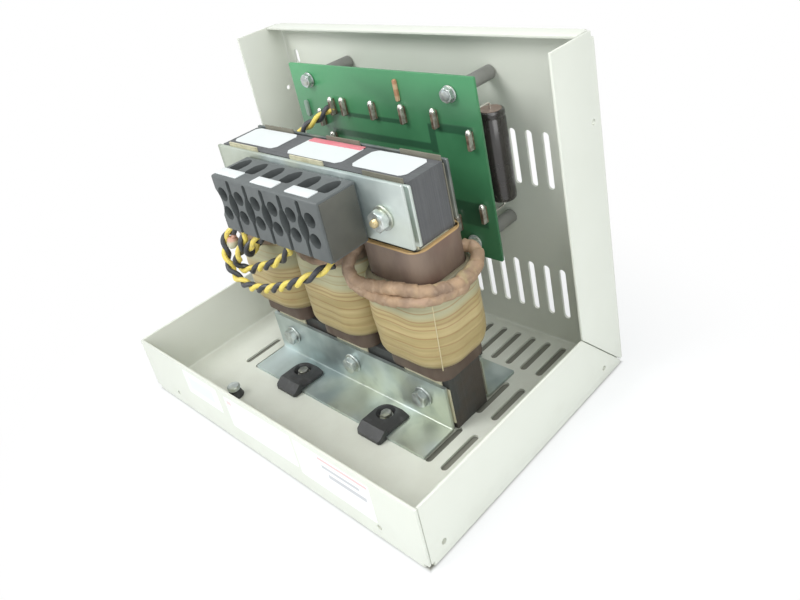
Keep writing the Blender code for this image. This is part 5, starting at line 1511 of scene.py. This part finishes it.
# %% Posts and their screws
post_grey = two_tone(
    "post_grey", "post_grey", 0.4, (120, 3), (0.210, 0.210, 0.200), (0.320, 0.320, 0.305), Metallic=0.3
)
post_grey.feed("Roughness", 0.35 + 0.2 * post_grey.at.noise(300, 2))
for corner in ("lower_left", "upper_left", "lower_right", "upper_right"):
    low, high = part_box("board_post_" + corner)
    x, z = (low.x + high.x) / 2, (low.z + high.z) / 2
    length = high.y - low.y
    profile = [(0.0021, 0.0), (0.0038, 0.0), (0.0042, 0.0004)]
    profile += [(0.0042, length - 0.0004), (0.0038, length), (0.0021, length)]
    post = turned(profile, (x, low.y, z), 1, 1, 36, True)
    piece("post_" + corner, [post], post_grey, ("board_post_" + corner,), 35)
    at = (x, board_y[0], z)
    screw = [washer(0.0048, 0.001, 0.0002, 0.0012, at, 1, -1), hexagon(0.0078, 0.0012, 0.0040, at, 1, -1, 0.3)]
    crown = [(0.0030, 0.0036), (0.0028, 0.0042), (0.0020, 0.0045), (0.0004, 0.0046)]
    screw.append(turned(crown, at, 1, -1, 24))
    piece("post_screw_" + corner, screw, bolt_zinc, ("board_screw_" + corner,), 30)

# %% [markdown]
# The capacitor is a can in a shrunk black sleeve. The sleeve is crimped near
# the top, and its brown end disc shows. A glossy cylinder would come close,
# but the crimp and the slightly uneven shrink catch the light in a way that
# tells the sleeve from a painted can. Two bent wires carry it behind the
# board.

# %% Capacitor
sleeve = Finish("capacitor_sleeve", "capacitor_black", 0.2, Coat_Weight=0.5, Coat_Roughness=0.12)
sleeve.feed("Base Color", sleeve.at.noise(60, 3).blend((0.016, 0.014, 0.013), (0.035, 0.030, 0.028)))
sleeve.feed("Roughness", 0.18 + 0.15 * sleeve.at.noise(150, 2))
sleeve.relief(sleeve.at.noise(90, 2, (1.0, 1.0, 0.2)), 0.0004, 0.5)
end_brown = two_tone(
    "capacitor_end", "capacitor_black", 0.55, (300, 3), (0.230, 0.165, 0.135), (0.340, 0.265, 0.225)
)
low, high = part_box("capacitor")
can_x, can_y, can_top, can_foot = (low.x + high.x) / 2, high.y - 0.0075, 0.1620, 0.1090
profile = [
    (0.0060, 0.0), (0.0068, -0.0001), (0.0074, -0.0007), (0.0075, -0.0015), (0.0075, -0.0030), (0.0070, -0.0037),
    (0.0070, -0.0041), (0.0075, -0.0049), (0.0075, -0.0500), (0.0073, -0.0521), (0.0066, -0.0529), (0.0010, -0.0530),
]
piece("capacitor_can", [turned(profile, (can_x, can_y, can_top), 2, 1, 48)], sleeve, ("capacitor",), 50)
disc = [(0.0061, -0.0004), (0.0060, 0.0003), (0.0052, 0.0001), (0.0004, 0.0001)]
piece("capacitor_disc", [turned(disc, (can_x, can_y, can_top), 2, 1, 48)], end_brown, (), 50)
wires = []
for start, turn in ((can_top, 0.004), (can_foot, -0.004)):
    marks = [(can_x, can_y, start - turn * 0.2), (can_x, can_y, start + turn * 0.5)]
    marks += [(can_x, can_y - 0.001, start + turn * 0.95), (can_x, can_y - 0.006, start + turn)]
    marks += [(can_x, rear_y - 0.0002, start + turn)]
    wires.append(tube(even(smooth_line(marks), 0.0005), 0.0006))
piece("capacitor_wires", wires, tin, (), 50)

# %% [markdown]
# The earth stud on the floor is a dark tapered pillar under a zinc head. It
# is turned like the posts, in two pieces, because its two finishes meet at a
# clean edge.

# %% Earth stud
low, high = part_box("earth_stud")
stud_at = ((low.x + high.x) / 2 + 0.0020, (low.y + high.y) / 2, low.z - 0.0034)
pillar = [(0.0010, 0.0035), (0.0050, 0.0035), (0.0051, 0.0039), (0.0036, 0.0084), (0.0010, 0.0085)]
piece("stud_pillar", [turned(pillar, stud_at, 2, 1, 40)], black_steel, ("earth_stud",), 35)
head = [(0.0010, 0.0084), (0.0037, 0.0084), (0.0041, 0.0089), (0.0041, 0.0108), (0.0036, 0.0114), (0.0010, 0.0115)]
piece("stud_head", [turned(head, stud_at, 2, 1, 40)], bolt_zinc, (), 35)

# %% [markdown]
# The reactor stands on a plain pale floor in soft light. Rays that come
# straight from the camera see the floor fade to white away from the chassis,
# and near it they see the real floor, which keeps the soft shadow. More light
# would also make the floor white, but it would burn out the cream paint. The
# patch right under the chassis is painted dark as shade, so that its slots
# look open.

# %% Floor
floor_mesh = bpy.data.meshes.new("floor")
floor_corners = [(-4, -4, -0.0003), (4, -4, -0.0003), (4, 4, -0.0003), (-4, 4, -0.0003)]
floor_mesh.from_pydata(floor_corners, [], [(0, 1, 2, 3)])
floor = bpy.data.objects.new("floor", floor_mesh)
bpy.context.collection.objects.link(floor)
pale = Finish("pale_floor", "label_white", 0.9)
glow = pale.at.node("ShaderNodeEmission", None, {"Color": (1.0, 1.0, 1.0, 1.0), "Strength": 1.0})


def seen_directly(field):
    """1 for rays from the camera, off gloss or through glass: the sum of three outputs of Light Path, at most 1."""
    kinds = ("Is Camera Ray", "Is Glossy Ray", "Is Transmission Ray")
    first, second, third = (field.node("ShaderNodeLightPath", out=kind) for kind in kinds)
    return (first + second + third).math("MINIMUM", 1.0)


flat = {0: pale.at.stretched((1.0, 1.15, 0.0))}
away = pale.at.node("ShaderNodeVectorMath", {"operation": "LENGTH"}, flat, 1)
beside = pale.x.math("ABSOLUTE").smooth(0.1225, 0.1255)
outside = beside.math("MAXIMUM", pale.y.math("ABSOLUTE").smooth(0.0845, 0.0875))
# Painted shade: the floor under the chassis is dark grey, as the chassis' own shadow.
pale.feed("Base Color", outside.blend((0.20, 0.20, 0.17), (0.86, 0.88, 0.89)))
fade = outside * (0.55 + 0.45 * away.smooth(0.13, 0.27))
inputs = {0: seen_directly(pale.at) * fade, 1: Field(pale.tree, pale.shader.outputs[0]), 2: glow}
mixed = pale.at.node("ShaderNodeMixShader", None, inputs)
pale.tree.links.new(mixed.socket, pale.tree.nodes["Material Output"].inputs["Surface"])
floor_mesh.materials.append(pale.material)
print("floor:", [round(side, 1) for side in floor.dimensions], "m")

# %% [markdown]
# A white world fills the shadows, at less than full strength for the surfaces
# and at full strength where the camera or a reflection sees it. Three soft
# square lamps shape the rest: the key from the front left, one from above and
# a fill from the right. Small hard lamps would throw sharp shadows into the
# tray that the photograph doesn't have.

# %% World
world = bpy.data.worlds.new("studio")
bpy.context.scene.world = world
world.use_nodes = True
sky = Field(world.node_tree)
background = world.node_tree.nodes["Background"]
strength = 0.40 + 0.60 * seen_directly(sky)
world.node_tree.links.new(strength.socket, background.inputs["Strength"])
background.inputs["Color"].default_value = (0.97, 1.0, 1.0, 1.0)
print("world:", world.name)


# %% Lamps
def lamp(name, place, aim, size, power):
    """A square soft lamp that faces a point: yaw = atan2(y, x), pitch = atan2(-z, level distance)."""
    light = bpy.data.lights.new(name, "AREA")
    light.size = size
    light.energy = power
    made = bpy.data.objects.new(name, light)
    made.location = place
    direction = np.array(aim) - np.array(place)
    yaw = math.atan2(direction[1], direction[0])
    pitch_down = math.atan2(-direction[2], math.hypot(direction[0], direction[1]))
    made.rotation_euler = Euler((math.pi / 2 - pitch_down, 0.0, yaw - math.pi / 2), "XYZ")
    bpy.context.collection.objects.link(made)
    print("lamp:", name, power, "W")


AIM = (0.0, 0.0, 0.08)
lamp("key", (-0.42, -0.88, 1.02), AIM, 0.55, 10.8)
lamp("top", (0.20, 0.10, 1.20), AIM, 0.7, 5.6)
lamp("fill", (0.95, -0.45, 0.60), AIM, 0.8, 6.6)
bpy.context.scene.view_settings.view_transform = "Standard"

# %% [markdown]
# Last comes a count of the pieces and of their faces.

# %% Count the pieces and their faces
print("pieces:", len(totals), "faces:", sum(totals.values()))
